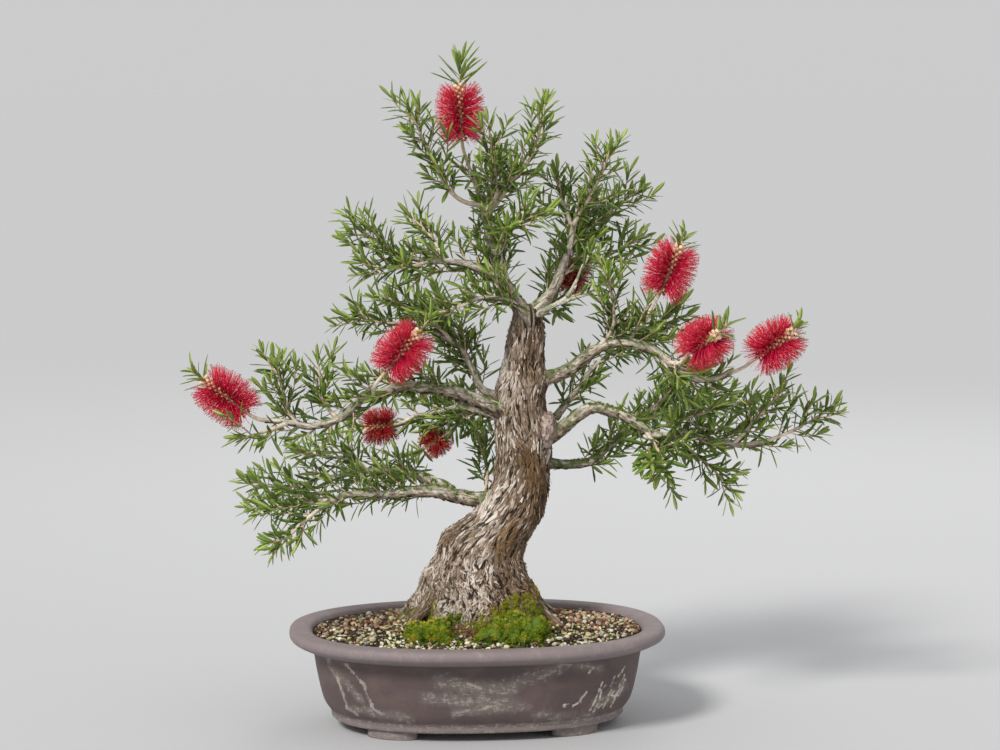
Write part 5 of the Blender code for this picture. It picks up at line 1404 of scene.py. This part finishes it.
@dataclass
class SoilBed:
    """The soil in the pot, with a crumbly top."""

    around: int = 260
    rows: int = 60
    half: float = 0.1792
    crumble: float = 0.0012
    wall: Sequence[Pair] = ((0.1195, 0.0215), (0.1395, 0.0213), (0.1470, 0.0238), (0.1605, 0.0375), (0.1750, 0.0900))

    def build(self, earth: Finish) -> Thing:
        """Makes the soil."""
        angles = all_round(self.around)
        rows = [oval(CORE_HALF, angles, self.wall[0][1])]
        rows += [oval(half, angles, z) for half, z in self.wall]
        for share in np.linspace(1.0, 0.03, self.rows):
            ring = oval(self.half * share, angles, 0.0)
            ring[:, 2] = soil_height(ring[:, 0], ring[:, 1])
            if share < 0.99:
                ring[:, 2] += self.crumble * grain_noise(ring, (160, 160, 1), 3)
            rows.append(ring)
        return show(roll("soil_bed", np.array(rows) + SHIFT), Slot.SOIL, ["soil"], [earth])


# The gravel's colours as seen, with how common each is in front and behind.
PEBBLES = [
    (shown("ede8d4"), 9, 3), (shown("dbd4a8"), 7, 3), (shown("c2c285"), 5, 1), (shown("b89c7d"), 3, 8),
    (shown("8a6b54"), 2, 8), (shown("634c3b"), 4, 7), (shown("45362b"), 6, 5), (shown("9e998f"), 3, 3),
    (shown("855942"), 0, 5), (shown("54612e"), 5, 1), (shown("d6b08f"), 1, 6),
]
MOSS = {"moss_left": ((-0.046, -0.076), (0.028, 0.024, 0.019)), "moss_right": ((0.040, -0.068), (0.042, 0.035, 0.028))}


def moss_place(name: str) -> tuple[Array, Point]:
    """The centre of a moss cushion, on the soil, and its radii."""
    (x, y), radii = MOSS[name]
    middle = turned([(x, y, 0.0)])[0]
    middle[2] = soil_height(middle[0], middle[1])
    return middle, radii


@dataclass
class Gravel:
    """Stones and crumbs scattered over the soil."""

    name: str = "gravel"
    stones: int = 2300
    crumbs: int = 1700
    size: Pair = (0.0024, 0.0068)
    crumb_size: Pair = (0.0010, 0.0020)
    front: float = -0.035
    foot: Pair = (0.074, 0.064)
    reach: Pair = (0.1780, 0.1280)

    @staticmethod
    def pebbles() -> list[Stamp]:
        """A few unlike stones, each a unit across."""
        made = []
        rng = Random("pebbles")
        for _ in range(7):
            thing = added("cube", size=0.8)
            for vert in thing.data.vertices:
                vert.co = [value * rng.uniform(0.65, 1.2) for value in vert.co]
            worked(thing, "BEVEL", width=0.22, segments=1)
            made.append(Stamp.lifted(thing, False))
        return made

    def build(self, stone: Finish) -> Thing:
        """Scatters the stones, but none in the trunk or under the moss."""
        rng = Random(self.name)
        stamps = self.pebbles()
        front, behind = ([row[0] for row in PEBBLES for _ in range(row[side])] for side in (1, 2))
        middles = [moss_place(name) for name in MOSS]
        collage = Collage()
        while len(collage.parts) < self.stones + self.crumbs:
            is_crumb = len(collage.parts) >= self.stones
            angle, share = rng.uniform(0, math.tau), math.sqrt(rng.random())
            x, y = within(self.reach, share, angle)
            z = soil_height(x, y)
            if math.hypot(x / self.foot[0], y / self.foot[1]) < 1 and not is_crumb:
                continue
            if any(math.hypot((x - m[0]) / (r[0] * 0.9), (y - m[1]) / (r[1] * 0.9)) < 1 for m, r in middles):
                continue
            small, large = self.size
            size = rng.uniform(*self.crumb_size) if is_crumb else small + (large - small) * rng.random() ** 1.7
            spin = Matrix.Rotation(rng.uniform(0, math.tau), 3, "Z") @ Matrix.Rotation(rng.gauss(0, 0.5), 3, "X")
            scale = np.diag([size * rng.uniform(*ends) for ends in ((0.85, 1.3), (0.75, 1.1), (0.6, 0.9))])
            is_front = y + rng.gauss(0.0, 0.02) < self.front
            colour = np.array(rng.choice(front if is_front else behind))
            light = rng.uniform(0.65, 1.05) * (0.35 if is_crumb else 1.0) * (0.85 if y > 0.02 and x < 0.0 else 1.0)
            spot = SHIFT + (x, y, z + size * rng.uniform(0.05, 0.32))
            collage.press(rng.choice(stamps), scale @ np.array(spin).T, spot, colour * light)
        return show(collage.piece(self.name), Slot.SOIL, ["soil"], [stone])


@dataclass
class Litter:
    """Dry fallen leaves and flower threads on the soil, most of them between the front roots."""

    count: int = 420
    nest: Point = (-0.011, -0.072, 0.0)
    spread: Pair = (0.012, 0.010)
    reach: Pair = (0.172, 0.122)
    length: Pair = (0.004, 0.012)
    width: Pair = (0.0006, 0.0014)
    colours: Sequence[Colour] = tuple(shown(code) for code in ("6b3d2b", "8c452e", "9e7854", "573829", "b8946b"))

    def build(self, dry: Finish) -> Thing:
        """Scatters the litter."""
        rng = Random("litter")
        slivers = Flakes("litter").slivers
        collage = Collage()
        for index in range(self.count):
            if index % 5 < 2:
                x, y = (middle + rng.gauss(0, off) for middle, off in zip(turned([self.nest])[0], self.spread))
            else:
                angle, share = rng.uniform(0, math.tau), rng.uniform(0.42, 0.96)
                x, y = within(self.reach, share, angle)
            turn, rise = rng.uniform(0, math.tau), rng.uniform(-0.25, 0.25)
            along = unit(np.array([math.cos(turn), math.sin(turn), rise]))
            across, up = square_to(along)
            long, wide = rng.uniform(*self.length), rng.uniform(*self.width)
            spot = SHIFT + (x, y, soil_height(x, y) + rng.uniform(0.0020, 0.0042))
            shade = np.array(rng.choice(self.colours)) * rng.uniform(0.7, 1.2)
            axes = np.array([across * wide, along * long, up * wide * 0.6])
            collage.press(rng.choice(slivers), axes, spot, shade, 0, rng.uniform(-1.0, 1.0))
        return show(collage.piece("litter"), Slot.SOIL, ["soil"], [dry])


@dataclass
class MossTuft:
    """A few moss blades from one foot: what all the moss is made of."""

    blades: tuple[int, int] = (13, 25)
    spread: float = 0.38

    def __post_init__(self) -> None:
        """Models one blade, a unit high along its second axis."""
        blade = added("cone", vertices=3, radius1=0.17, radius2=0.0, depth=1, location=(0, 0, 0.5))
        bpy.ops.object.transform_apply()
        blade.rotation_euler[0] = -math.pi / 2
        bpy.ops.object.transform_apply()
        self.blade = Stamp.lifted(blade, False)

    def plant(self, collage: Collage, spot: Array, out: Array, size: float, tone: float,
              rng: Random) -> None:
        """Adds one tuft.

        Args:
            collage: where it goes.
            spot: its foot.
            out: where it grows to.
            size: its blades' length.
            tone: its colour, from dark green to gold.
            rng: source of small differences.
        """
        side, up = square_to(out)
        for _ in range(rng.randrange(*self.blades)):
            lean = unit(out + side * rng.gauss(0, 0.5) + up * rng.gauss(0, 0.5))
            long = size * rng.uniform(0.6, 1.25)
            first, second = square_to(lean)
            foot = spot + (side * rng.gauss(0, self.spread) + up * rng.gauss(0, self.spread)) * size
            shade = (share_of(tone + rng.gauss(0, 0.1)), rng.random(), 0.0)
            collage.press(self.blade, np.array([first, lean, second]) * long, foot - lean * long * 0.25, shade)


@dataclass
class MossCushion:
    """A cushion of moss: a lumpy mound of tufts, some of which climb the trunk or creep over the soil."""

    name: str
    trunk: Trunk
    tuft: MossTuft
    tufts: int = 860
    climbing: int = 520
    creeping: int = 90
    size: Pair = (0.0019, 0.0038)
    climbing_size: Pair = (0.0016, 0.0030)
    around: int = 96
    rings: int = 26
    wall: tuple[int, int] = (60, 240)

    def mound(self) -> tuple[Array, Array]:
        """Rings of points of the mound, and a tone for each that rises with height and on lumps: painted shade in its
        hollows and low sides, and lighter, more golden tops, partly the moss's own colour and partly painted highlight.
        """
        middle, radii = moss_place(self.name)
        angles = all_round(self.around)
        leans = np.linspace(0.0, math.pi / 2 - 0.04, self.rings)[:, None]
        reach = np.cos(leans)
        points = side_by_side(
            middle[0] + radii[0] * reach * np.cos(angles), middle[1] + radii[1] * reach * np.sin(angles), 0.0,
        )
        broad = grain_noise(points, 48, 1)
        lumps = grain_noise(points, 170, 2)
        points[..., :2] += (points[..., :2] - middle[:2]) * (0.45 * broad + 0.18 * lumps)[..., None]
        rise = np.sin(leans) ** 1.1
        points[..., 2] = soil_height(points[..., 0], points[..., 1])
        points[..., 2] += radii[2] * rise * (0.50 + 0.6 * broad + 0.45 * lumps)
        # The tone is darker low down and between lumps (painted shade) and lighter on top (partly painted highlight).
        return points, 0.24 + 0.2 * rise + lumps * 1.0 + broad * 0.4

    def climb(self, collage: Collage, rng: Random) -> None:
        """Adds the tufts that grow on the foot of the trunk above the cushion."""
        (x, _), radii = MOSS[self.name]
        rows, columns = self.wall
        heights = np.linspace(0.108, 0.156, rows)
        points, _, _ = self.trunk.surface(heights, np.linspace(-math.pi, 0.0, columns))
        flat = placed(points)
        ragged = grain_noise(flat, 60, 3)
        grown = 0
        count = self.climbing if x > 0 else self.climbing // 2
        for _ in range(count * 60):
            row, column = rng.randrange(rows), rng.randrange(columns)
            spot = points[row, column]
            off = (spot[0] - x) / (radii[0] * 1.05)
            top = 0.143 - 0.022 * off**2 + 0.034 * ragged[row, column] - (0.012 if x < 0 else 0.0)
            if abs(off) > 1.25 or spot[2] > top or spot[1] > -0.01:
                continue
            out = unit(flat[row, column] - placed([(0.0, 0.0, heights[row] - 0.02)])[0])
            tone = rng.gauss(0.62 - 0.25 * off + 0.20 * (spot[2] - 0.12) / 0.02, 0.12)
            size = rng.uniform(*self.climbing_size)
            self.tuft.plant(collage, flat[row, column] + out * 0.0012, out, size, tone, rng)
            grown += 1
            if grown >= count:
                break

    def build(self, blade: Finish) -> Thing:
        """Makes the cushion."""
        rng = Random(self.name)
        points, heights = self.mound()
        collage = Collage()
        shades = side_by_side(0.25 + 0.2 * heights[:, 0], 0.0, 0.0)
        low = points[0].copy()
        low[:, 2] -= 0.004
        collage.tube(np.concatenate([low[None], points]) + SHIFT, np.vstack([shades[:1], shades]), 0)
        middle, radii = moss_place(self.name)
        top = len(points) - 2
        for _ in range(self.tufts):
            row, column = min(top, int(top * rng.random() ** 1.25)), rng.randrange(self.around)
            spot = points[row, column] + (points[row + 1, column] - points[row, column]) * rng.random()
            out = unit(spot - middle + (0.0, 0.0, 0.008))
            tone = float(heights[row, column]) + rng.gauss(0, 0.13)
            self.tuft.plant(collage, SHIFT + spot, out, rng.uniform(*self.size), tone, rng)
        for _ in range(self.creeping):
            turn, out = rng.uniform(0, math.tau), rng.uniform(0.95, 1.5)
            spot = middle + (*within(radii, out, turn), 0.0)
            spot[2] = soil_height(spot[0], spot[1])
            self.tuft.plant(collage, SHIFT + spot, np.array([0.1, 0.0, 1.0]), rng.uniform(0.0018, 0.003), 0.35, rng)
        self.climb(collage, rng)
        return show(collage.piece(self.name + "_cushion"), Slot.MOSS, [self.name], [blade])


# From which to which share of its length a damp limb bears moss.
MOSSY = {
    "low_left": (0.06, 0.62), "low_left_back": (0.0, 0.5), "upper_right": (0.02, 0.30), "mid_left": (0.05, 0.45),
    "mid_right": (0.10, 0.55), "knob_up": (0.30, 0.75), "low_right": (0.30, 0.95), "upper_left": (0.05, 0.35),
}


@dataclass
class LimbMoss:
    """Moss on the upper sides of the damper limbs."""

    tuft: MossTuft
    spacing: float = 0.0008
    size: Pair = (0.0014, 0.0030)
    patchiness: float = 60.0
    bald: float = -0.12

    def build(self, blade: Finish) -> Thing:
        """Makes the tufts."""
        rng = Random("limb moss")
        collage = Collage()
        for name, (first, last) in MOSSY.items():
            line = BRANCHES[name].line()
            for step in range(int((last - first) * line.length / self.spacing)):
                length = line.length * first + step * self.spacing
                place, along = line.at(length), line.along(length)
                out = off_axis(along, rng.gauss(math.pi / 2, 0.8))
                if noise.noise(Vector(place + out * 0.01) * self.patchiness) < self.bald:
                    continue
                foot = place + out * float(BRANCHES[name].collared(length, line.length))
                self.tuft.plant(collage, foot, out, rng.uniform(*self.size), rng.gauss(0.36, 0.12), rng)
        return show(collage.piece("limb_moss"), Slot.MOSS, ["tree_wood"], [blade])


# From which share of its length a limb bears leafy shoots, where that isn't the usual one.
LEAFY_FROM = {
    "low_left": 0.42, "low_left_back": 0.30, "mid_left": 0.30, "leader": 0.30, "white_twig": 0.8, "white_fork": 0.7,
    "white_tip": 0.7,
}


@dataclass
class Foliage:
    """The leafy sprays: fine twigs with narrow keeled leaves in a spiral."""

    leaf_length: Pair = (0.017, 0.033)
    leaf_width: float = 0.0047
    leaf_step: float = 0.0028
    shoot_step: float = 0.0100
    shoot_length: Pair = (0.024, 0.052)
    limb_step: float = 0.0049
    twig: Pair = (0.0023, 0.0008)
    leaf_lean: Pair = (48, 72)
    tip_lean: Pair = (16, 34)
    tuft_lean: Pair = (30, 58)
    shoot_lean: Pair = (34, 56)
    flower_room: float = 0.024
    sight: float = 0.35
    window: float = 0.014
    margin: float = 0.002

    def __post_init__(self) -> None:
        """Models the leaf and notes where there is room for it."""
        self.blade = self.leaf()
        self.low, self.high = np.array(CAD_BOX[0]) + self.margin, np.array(CAD_BOX[1]) - self.margin
        self.lines = {name: spray.stem() for name, spray in SPRAYS.items()}
        flowers = {name: line for name, line in self.lines.items() if SPRAYS[name].bloom is not None}
        self.blooms = np.concatenate([
            line.at(np.linspace(start, end, 5)) for name, (line, start, end) in flowers.items() if "rear" not in name
        ])
        self.rear = np.array([
            line.at((start + end) / 2) for name, (line, start, end) in flowers.items() if "rear" in name
        ])
        self.views = unit(placed([CAMERA])[0] - self.rear)

    def is_free(self, point: Array) -> bool:
        """Whether a point is in no flower, in front of none at the rear, and not outside the part's box."""
        inside = (point > self.low).all() and (point < self.high).all()
        if not inside or float(np.linalg.norm(self.blooms - point, axis=1).min()) < self.flower_room:
            return False
        off = point - self.rear
        ahead = (off * self.views).sum(axis=1)
        aside = np.linalg.norm(off - self.views * ahead[:, None], axis=1)
        return not ((ahead > 0.012) & (aside < self.window)).any()

    @staticmethod
    def leaf() -> Stamp:
        """One narrow closed leaf, a unit long and a unit wide, folded along its midrib."""
        section = np.array([(-0.5, 0.0, 0.030), (0.0, 0.0, 0.012), (0.5, 0.0, 0.030), (0.0, 0.0, -0.012)])
        rows = [
            section * (wide, 0.0, wide) + (0.0, share, 0.0)
            for share, wide in ((0.0, 0.14), (0.22, 0.66), (0.60, 0.98), (0.87, 0.66), (1.0, 0.06))
        ]
        return Stamp.lifted(roll("leaf", np.array(rows)))

    def put_leaf(self, collage: Collage, root: Array, along: Array, out: Array, lean: float,
                 long: float, tone: float, rng: Random, is_tuft: bool = False) -> None:
        """Adds one leaf.

        Args:
            collage: where it goes.
            root: its foot.
            along: the twig's direction.
            out: the direction away from the twig.
            lean: its angle from the twig.
            long: its length.
            tone: how young it is.
            rng: its source of small differences.
            is_tuft: whether it belongs to a flower's tip, which may stand near the flower.
        """
        direction = unit(along * math.cos(lean) + out * math.sin(lean) + (0.0, 0.0, 0.06))
        tip = root + direction * long
        if not is_tuft and not self.is_free(tip):
            return
        face = along * math.sin(lean) - out * math.cos(lean) + (0.0, 0.0, 0.55)
        face = unit(face - direction * face.dot(direction))
        across = np.cross(direction, face)
        wide = self.leaf_width * rng.uniform(0.8, 1.15) * min(1.0, long / 0.022)
        axes = np.array([across * wide, direction * long, face * long])
        collage.press(self.blade, axes, root, (tone, rng.random(), 0.0), 0, rng.uniform(-0.10, 0.06))

    def dress(self, collage: Collage, line: Line, start: float, end: float, young: Pair,
              rng: Random, scale: float = 1.0, is_tuft: bool = False) -> None:
        """Sets leaves along a stretch of stem.

        Args:
            collage: where they go.
            line: the stem.
            start: where they start.
            end: where they end.
            young: the tone at the start and at the end.
            rng: source of small differences.
            scale: the leaves' size.
            is_tuft: whether they belong to a flower's tip.
        """
        turn = rng.uniform(0, math.tau)
        length = start
        while length < end:
            share = (length - start) / max(end - start, 1e-6)
            place, along = line.at(length), line.along(length)
            out = off_axis(along, turn)
            near_tip = max(0.0, 1 - (end - length) / 0.018)
            shut = rng.uniform(*(self.tuft_lean if is_tuft and scale < 1 else self.tip_lean))
            lean = math.radians(rng.uniform(*self.leaf_lean) * (1 - near_tip) + shut * near_tip)
            long = rng.uniform(*self.leaf_length) * scale * (1 - 0.25 * near_tip)
            tone = young[0] + (young[1] - young[0]) * share**1.5 + rng.gauss(0, 0.06)
            self.put_leaf(collage, place, along, out, lean, long, share_of(tone), rng, is_tuft)
            turn += GOLDEN
            length += self.leaf_step * rng.uniform(0.8, 1.25) * (1 - 0.35 * near_tip)

    def stem(self, collage: Collage, line: Line, radii: Pair, tone: float) -> None:
        """Adds a twig."""
        lengths = np.linspace(0.0, line.length, max(3, round(line.length / 0.007)))
        taper = radii[0] + (radii[1] - radii[0]) * (lengths / line.length) ** 0.8
        shades = side_by_side(tone + 0.5 * lengths / line.length, 0.5, 0.0)
        collage.tube(line.rings(lengths, taper, 6), shades, 1)

    @staticmethod
    def steps(rng: Random, start: float, end: float, step: float, uneven: Pair,
              turns: Pair) -> Iterator[tuple[float, float]]:
        """Where shoots grow on a stem: lengths along it, at uneven steps, with turns round it."""
        length, turn = start, rng.uniform(0, math.tau)
        while length < end:
            yield length, turn
            turn += math.radians(rng.uniform(*turns))
            length += step * rng.uniform(*uneven)

    def build(self, finishes: Sequence[Finish]) -> None:
        """Makes every spray, with the shoots that its branch carries beside it."""
        collages = {name: self.spray(name, spray) for name, spray in SPRAYS.items()}
        marks = [(name, point) for name, (line, _, _) in self.lines.items() for point in line.points[::4]]
        places = np.array([point for _, point in marks])
        for name, branch in BRANCHES.items():
            rng = Random(name)
            line = branch.line()
            start = line.length * LEAFY_FROM.get(name, 0.36)
            for length, turn in self.steps(rng, start, line.length, self.limb_step, (0.6, 1.5), (100, 170)):
                nearest = int(np.linalg.norm(places - line.at(length), axis=1).argmin())
                self.shoot(collages[marks[nearest][0]], line, length, turn, rng, True)
        for name, collage in collages.items():
            show(collage.piece(name + "_leaves"), Slot.LEAF, [name], finishes)

    def spray(self, name: str, spray: Spray) -> Collage:
        """Makes one spray."""
        rng = Random(name)
        collage = Collage()
        line, bloom_start, bloom_end = self.lines[name]
        limb = float(BRANCHES[spray.parent].radius(spray.along))
        thick = max(self.twig[0], min(0.0032, limb * 0.8)) if spray.along >= 0.9 else self.twig[0] * 1.15
        self.stem(collage, line, (thick, self.twig[1]), 0.1)
        bare = max(0.014, line.length * spray.bare * 0.75)
        if spray.bloom is None:
            self.dress(collage, line, bare, line.length - 0.001, (0.25, 0.95), rng)
        else:
            self.dress(collage, line, bare, bloom_start - 0.004, (0.2, 0.45), rng)
            scale = 1.45 if name == "crown_top" else 0.95
            for _ in range(2):
                self.dress(collage, line, bloom_end - 0.006, line.length, (0.6, 0.95), rng, scale, True)
        last = line.length - 0.014 if spray.bloom is None else bloom_start - 0.016
        for length, turn in self.steps(rng, bare * 0.8, last, self.shoot_step, (0.8, 1.3), (120, 160)):
            self.shoot(collage, line, length, turn, rng)
        return collage

    def shoot(self, collage: Collage, line: Line, length: float, turn: float, rng: Random,
              is_limb: bool = False) -> None:
        """Adds one leafy side shoot, but few that would hide a limb from the front.

        Args:
            collage: where it goes.
            line: what it grows on.
            length: how far along that.
            turn: how far round it.
            rng: source of small differences.
            is_limb: whether it grows on a limb.
        """
        place, along = line.at(length), line.along(length)
        out = off_axis(along, turn)
        if is_limb and out[1] < -self.sight and rng.random() < 0.8:
            return
        lean = math.radians(rng.uniform(*self.shoot_lean))
        direction = unit(along * math.cos(lean) + out * math.sin(lean) + (0.0, 0.0, 0.10))
        share = length / line.length
        long = rng.uniform(*self.shoot_length) * (1.1 - 0.45 * share)
        bend = unit(direction + along * 0.5 + (0.0, 0.0, 0.25))
        points = np.array([place, place + direction * long * 0.5, place + direction * long * 0.5 + bend * long * 0.5])
        if not all(self.is_free(point) for point in points[1:]):
            return
        shoot = Line.through(points, 4)
        self.stem(collage, shoot, (0.0010, 0.0006), 0.35)
        self.dress(collage, shoot, 0.004, shoot.length, (0.3, 0.95), rng, 0.92)


@dataclass
class Flower:
    """A crimson brush: cups along its axis, and a mass of fine filaments with anthers."""

    filaments: int = 1500
    reach: float = 0.0280
    core: float = 0.0030
    thread: float = 0.00023
    cups: int = 84
    cup_radius: Pair = (0.0012, 0.0016)
    bead_radius: Pair = (0.00032, 0.00048)
    rooted: Pair = (0.18, 0.78)
    lean: Pair = (-40, 78)
    rear_size: float = 0.78
    low_size: float = 0.62

    def __post_init__(self) -> None:
        """Models the anther and the cup."""
        self.anther = Stamp.lifted(added("cone", vertices=4, radius1=1.0, radius2=0.5, depth=1.6))
        self.cup = Stamp.lifted(added("ico_sphere", subdivisions=2, radius=1))

    def build(self, name: str, spray: Spray, finishes: Sequence[Finish]) -> Thing:
        """Makes one flower.

        Args:
            name: its CAD node.
            spray: the spray that carries it.
            finishes: materials of filaments, anthers and cups.

        Returns:
            The flower.
        """
        rng = Random(name)
        collage = Collage()
        line, start, end = spray.stem()
        size = self.low_size if name.endswith("rear_low") else self.rear_size if "rear" in name else 1.0
        start, end = (start + end) / 2 - (end - start) * size / 2, (start + end) / 2 + (end - start) * size / 2
        low, high = line.at(start), line.at(end)
        axis = unit(high - low)
        span = end - start
        front = np.array([0.0, -1.0, 0.12])
        front = unit(front - axis * front.dot(axis))
        for index in range(self.cups):
            share = (index + 0.5) / self.cups
            out = off_axis(axis, index * GOLDEN)
            spot = low + axis * span * share + out * (self.core + rng.uniform(0.0006, 0.0018))
            cup = rng.uniform(*self.cup_radius) + 0.0008 * share**2
            axes = np.array([np.cross(out, axis) * cup, axis * cup, out * cup * 1.3])
            collage.press(self.cup, axes, spot, (0.1 + 0.9 * share**1.3, rng.random(), 0.0), 2)
        filaments = round(self.filaments * size)
        for index in range(filaments):
            share = (index + 0.5) / filaments
            out = off_axis(axis, index * GOLDEN)
            if out.dot(front) > 0.90 + 0.04 * (1 - share) and rng.random() < 0.85:
                continue
            rooted = self.rooted[0] + (self.rooted[1] - self.rooted[0]) * share
            self.filament(collage, low + axis * span * rooted, axis, out, share, size, rng)
        return show(collage.piece(name + "_brush"), Slot.BRUSH, [name], finishes)

    def filament(self, collage: Collage, root: Array, axis: Array, out: Array, share: float,
                 size: float, rng: Random) -> None:
        """Adds one filament with its anther.

        Args:
            collage: where it goes.
            root: its foot on the axis.
            axis: the axis's direction.
            out: the direction away from it.
            share: how far along the flower it is.
            size: the flower's size, as a share.
            rng: source of small differences.
        """
        lean = math.radians(self.lean[0] + self.lean[1] * share + rng.gauss(0, 9))
        twist = np.cross(axis, out) * rng.gauss(0, 0.16)
        first = unit(out * math.cos(lean) + axis * math.sin(lean) + twist)
        second = unit(first + axis * rng.gauss(0.12, 0.12) + np.cross(axis, out) * rng.gauss(0, 0.12))
        long = self.reach * size * (1 - 0.10 * abs(2 * share - 1) ** 2) * (1 - 0.28 * rng.random() ** 1.6)
        foot = root + out * self.core
        points = np.array([foot, foot + first * long * 0.5, foot + first * long * 0.5 + second * long * 0.42])
        tone = share_of(rng.gauss(0.42, 0.24))
        line = Line(points, np.array([0.0, long * 0.5, long * 0.92]))
        rows = line.rings(line.marks, np.array([self.thread, self.thread, self.thread * 0.8]), 3)
        collage.tube(rows, np.array([(tone, 0.3, 0.0), (tone, 0.3, 0.5), (tone, 0.3, 1.0)]), 0)
        bead = rng.uniform(*self.bead_radius)
        collage.press(self.anther, np.eye(3) * bead, points[-1], (rng.random(), rng.random(), 0.0), 1)


@dataclass
class Studio:
    """A pale floor, soft lights and the photo's camera."""

    floor_size: float = 400.0
    floor: Colour = shown("bcbdbf")
    sky: Colour = (0.83, 0.83, 0.84)
    sky_strength: float = 0.725
    sensor: float = 36.0
    focal_length: float = 100.19
    tilt: float = math.radians(84.03)
    aim: Point = (0.0, 0.0, 0.36)

    def build(self) -> None:
        """Sets the stage."""
        floor = added("plane", size=self.floor_size)
        floor.name = floor.data.name = "studio_floor"
        shader = Shader("studio_floor")
        mottle = shader.noise(shader.place(), 1.5)
        floor.data.materials.append(shader.finish(shader.mix(mottle * 0.1, self.floor, shown("c2c2c2")), 0.9))
        self.world()
        self.lamp("key_light", "SUN", (-1.5, -1.9, 2.4), math.radians(14), 2.7, (1.0, 0.98, 0.94))
        self.lamp("fill_light", "AREA", (2.3, -1.6, 1.0), 1.8, 5.0, (0.96, 0.98, 1.0))
        self.lamp("rim_light", "AREA", (0.8, 2.2, 2.0), 1.4, 12.0, (1.0, 1.0, 1.0))
        self.camera()

    def world(self) -> None:
        """A plain pale surround."""
        world = bpy.data.worlds.new("studio")
        world.use_nodes = True
        sky = world.node_tree.nodes["Background"]
        sky.inputs["Color"].default_value = (*self.sky, 1.0)
        sky.inputs["Strength"].default_value = self.sky_strength
        bpy.context.scene.world = world

    def lamp(self, name: str, kind: str, place: Point, size: float, power: float, colour: Colour) -> None:
        """Adds one soft lamp that looks at the tree.

        Args:
            name: its name.
            kind: a sun, which lights the floor evenly, or an area.
            place: where it stands.
            size: a sun's angle, or how wide an area is.
            power: how strong it is.
            colour: its colour.
        """
        lamp = bpy.data.lights.new(name, kind)
        lamp.energy, lamp.color = power, colour
        if kind == "SUN":
            lamp.angle = size
        else:
            lamp.shape, lamp.size = "DISK", size
        thing = bpy.data.objects.new(name, lamp)
        thing.location = place
        thing.rotation_euler = (Vector(self.aim) - Vector(place)).to_track_quat("-Z", "Y").to_euler()
        bpy.context.scene.collection.objects.link(thing)

    def camera(self) -> None:
        """The photo's camera, fitted to the pot's ellipses and the tree's height."""
        lens = bpy.data.cameras.new("camera")
        lens.sensor_width, lens.lens = self.sensor, self.focal_length
        thing = bpy.data.objects.new("camera", lens)
        thing.location = placed([CAMERA])[0]
        thing.rotation_euler = (self.tilt, 0.0, TREE_TURN)
        bpy.context.scene.collection.objects.link(thing)
        bpy.context.scene.camera = thing
        bpy.context.scene.view_settings.view_transform = "Standard"


def main() -> None:
    """Builds every piece in turn."""
    logging.basicConfig(level=logging.INFO, format="%(message)s")
    clay, bark, flake = Clay().made(), Bark().made(), Flake().made()
    Pot().build(clay)
    plastic = PLASTIC.made()
    for side in (-1, 1):
        DrainMesh(side).build(plastic)
    SoilBed().build(EARTH.made())
    stone = STONE.made()
    Gravel().build(stone)
    Gravel("fine_gravel", 800, 0, (0.0020, 0.0048)).build(stone)
    Litter().build(stone)
    moss = MOSS_BLADE.made()
    trunk, tuft = Trunk(), MossTuft()
    for name in MOSS:
        MossCushion(name, trunk, tuft).build(moss)
    LimbMoss(tuft).build(moss)
    trunk.build([bark])
    Limbs("root_arms", ROOT_ARMS, 0.15).build([bark])
    Callus().build(CALLUS_BARK.made())
    Flakes("bark_flakes", 4000).build(trunk, flake)
    plates = Flakes("bark_plates", 900, (0.008, 0.019), (0.0028, 0.0052), unruly=0.10, wavy=0.5, flatness=0.4)
    plates.build(trunk, flake)
    foot = {"heights": (0.100, 0.225), "edges": ((0.150, 1.0), (0.222, 0.0)), "unruly": 0.55, "wavy": 1.0, "tone": 0.27}
    Flakes("bark_chips", 6200, (0.0030, 0.0095), (0.0009, 0.0021), **foot).build(trunk, flake)
    Flakes("limb_flakes").on_limbs(BRANCHES, flake)
    Flakes("root_flakes", limb_density=150000.0, tone=0.18).on_limbs(ROOT_ARMS, flake)
    Limbs("limbs", BRANCHES).build([LIMB_BARK.made()])
    Foliage().build([LEAF.made(), TWIG.made()])
    brush = [FILAMENT.made(), ANTHER.made(), CALYX.made()]
    shaded_brush = [SHADED_FILAMENT.made(), *brush[1:]]
    flower = Flower()
    for name, spray in SPRAYS.items():
        if spray.bloom is not None:
            # Rear flowers take the darker filaments, which are painted shade.
            finishes = shaded_brush if "rear" in name else brush
            flower.build("flower_" + name.replace("_brush", "").replace("brush_", ""), spray, finishes)
    Studio().build()


if __name__ == "__main__":
    main()
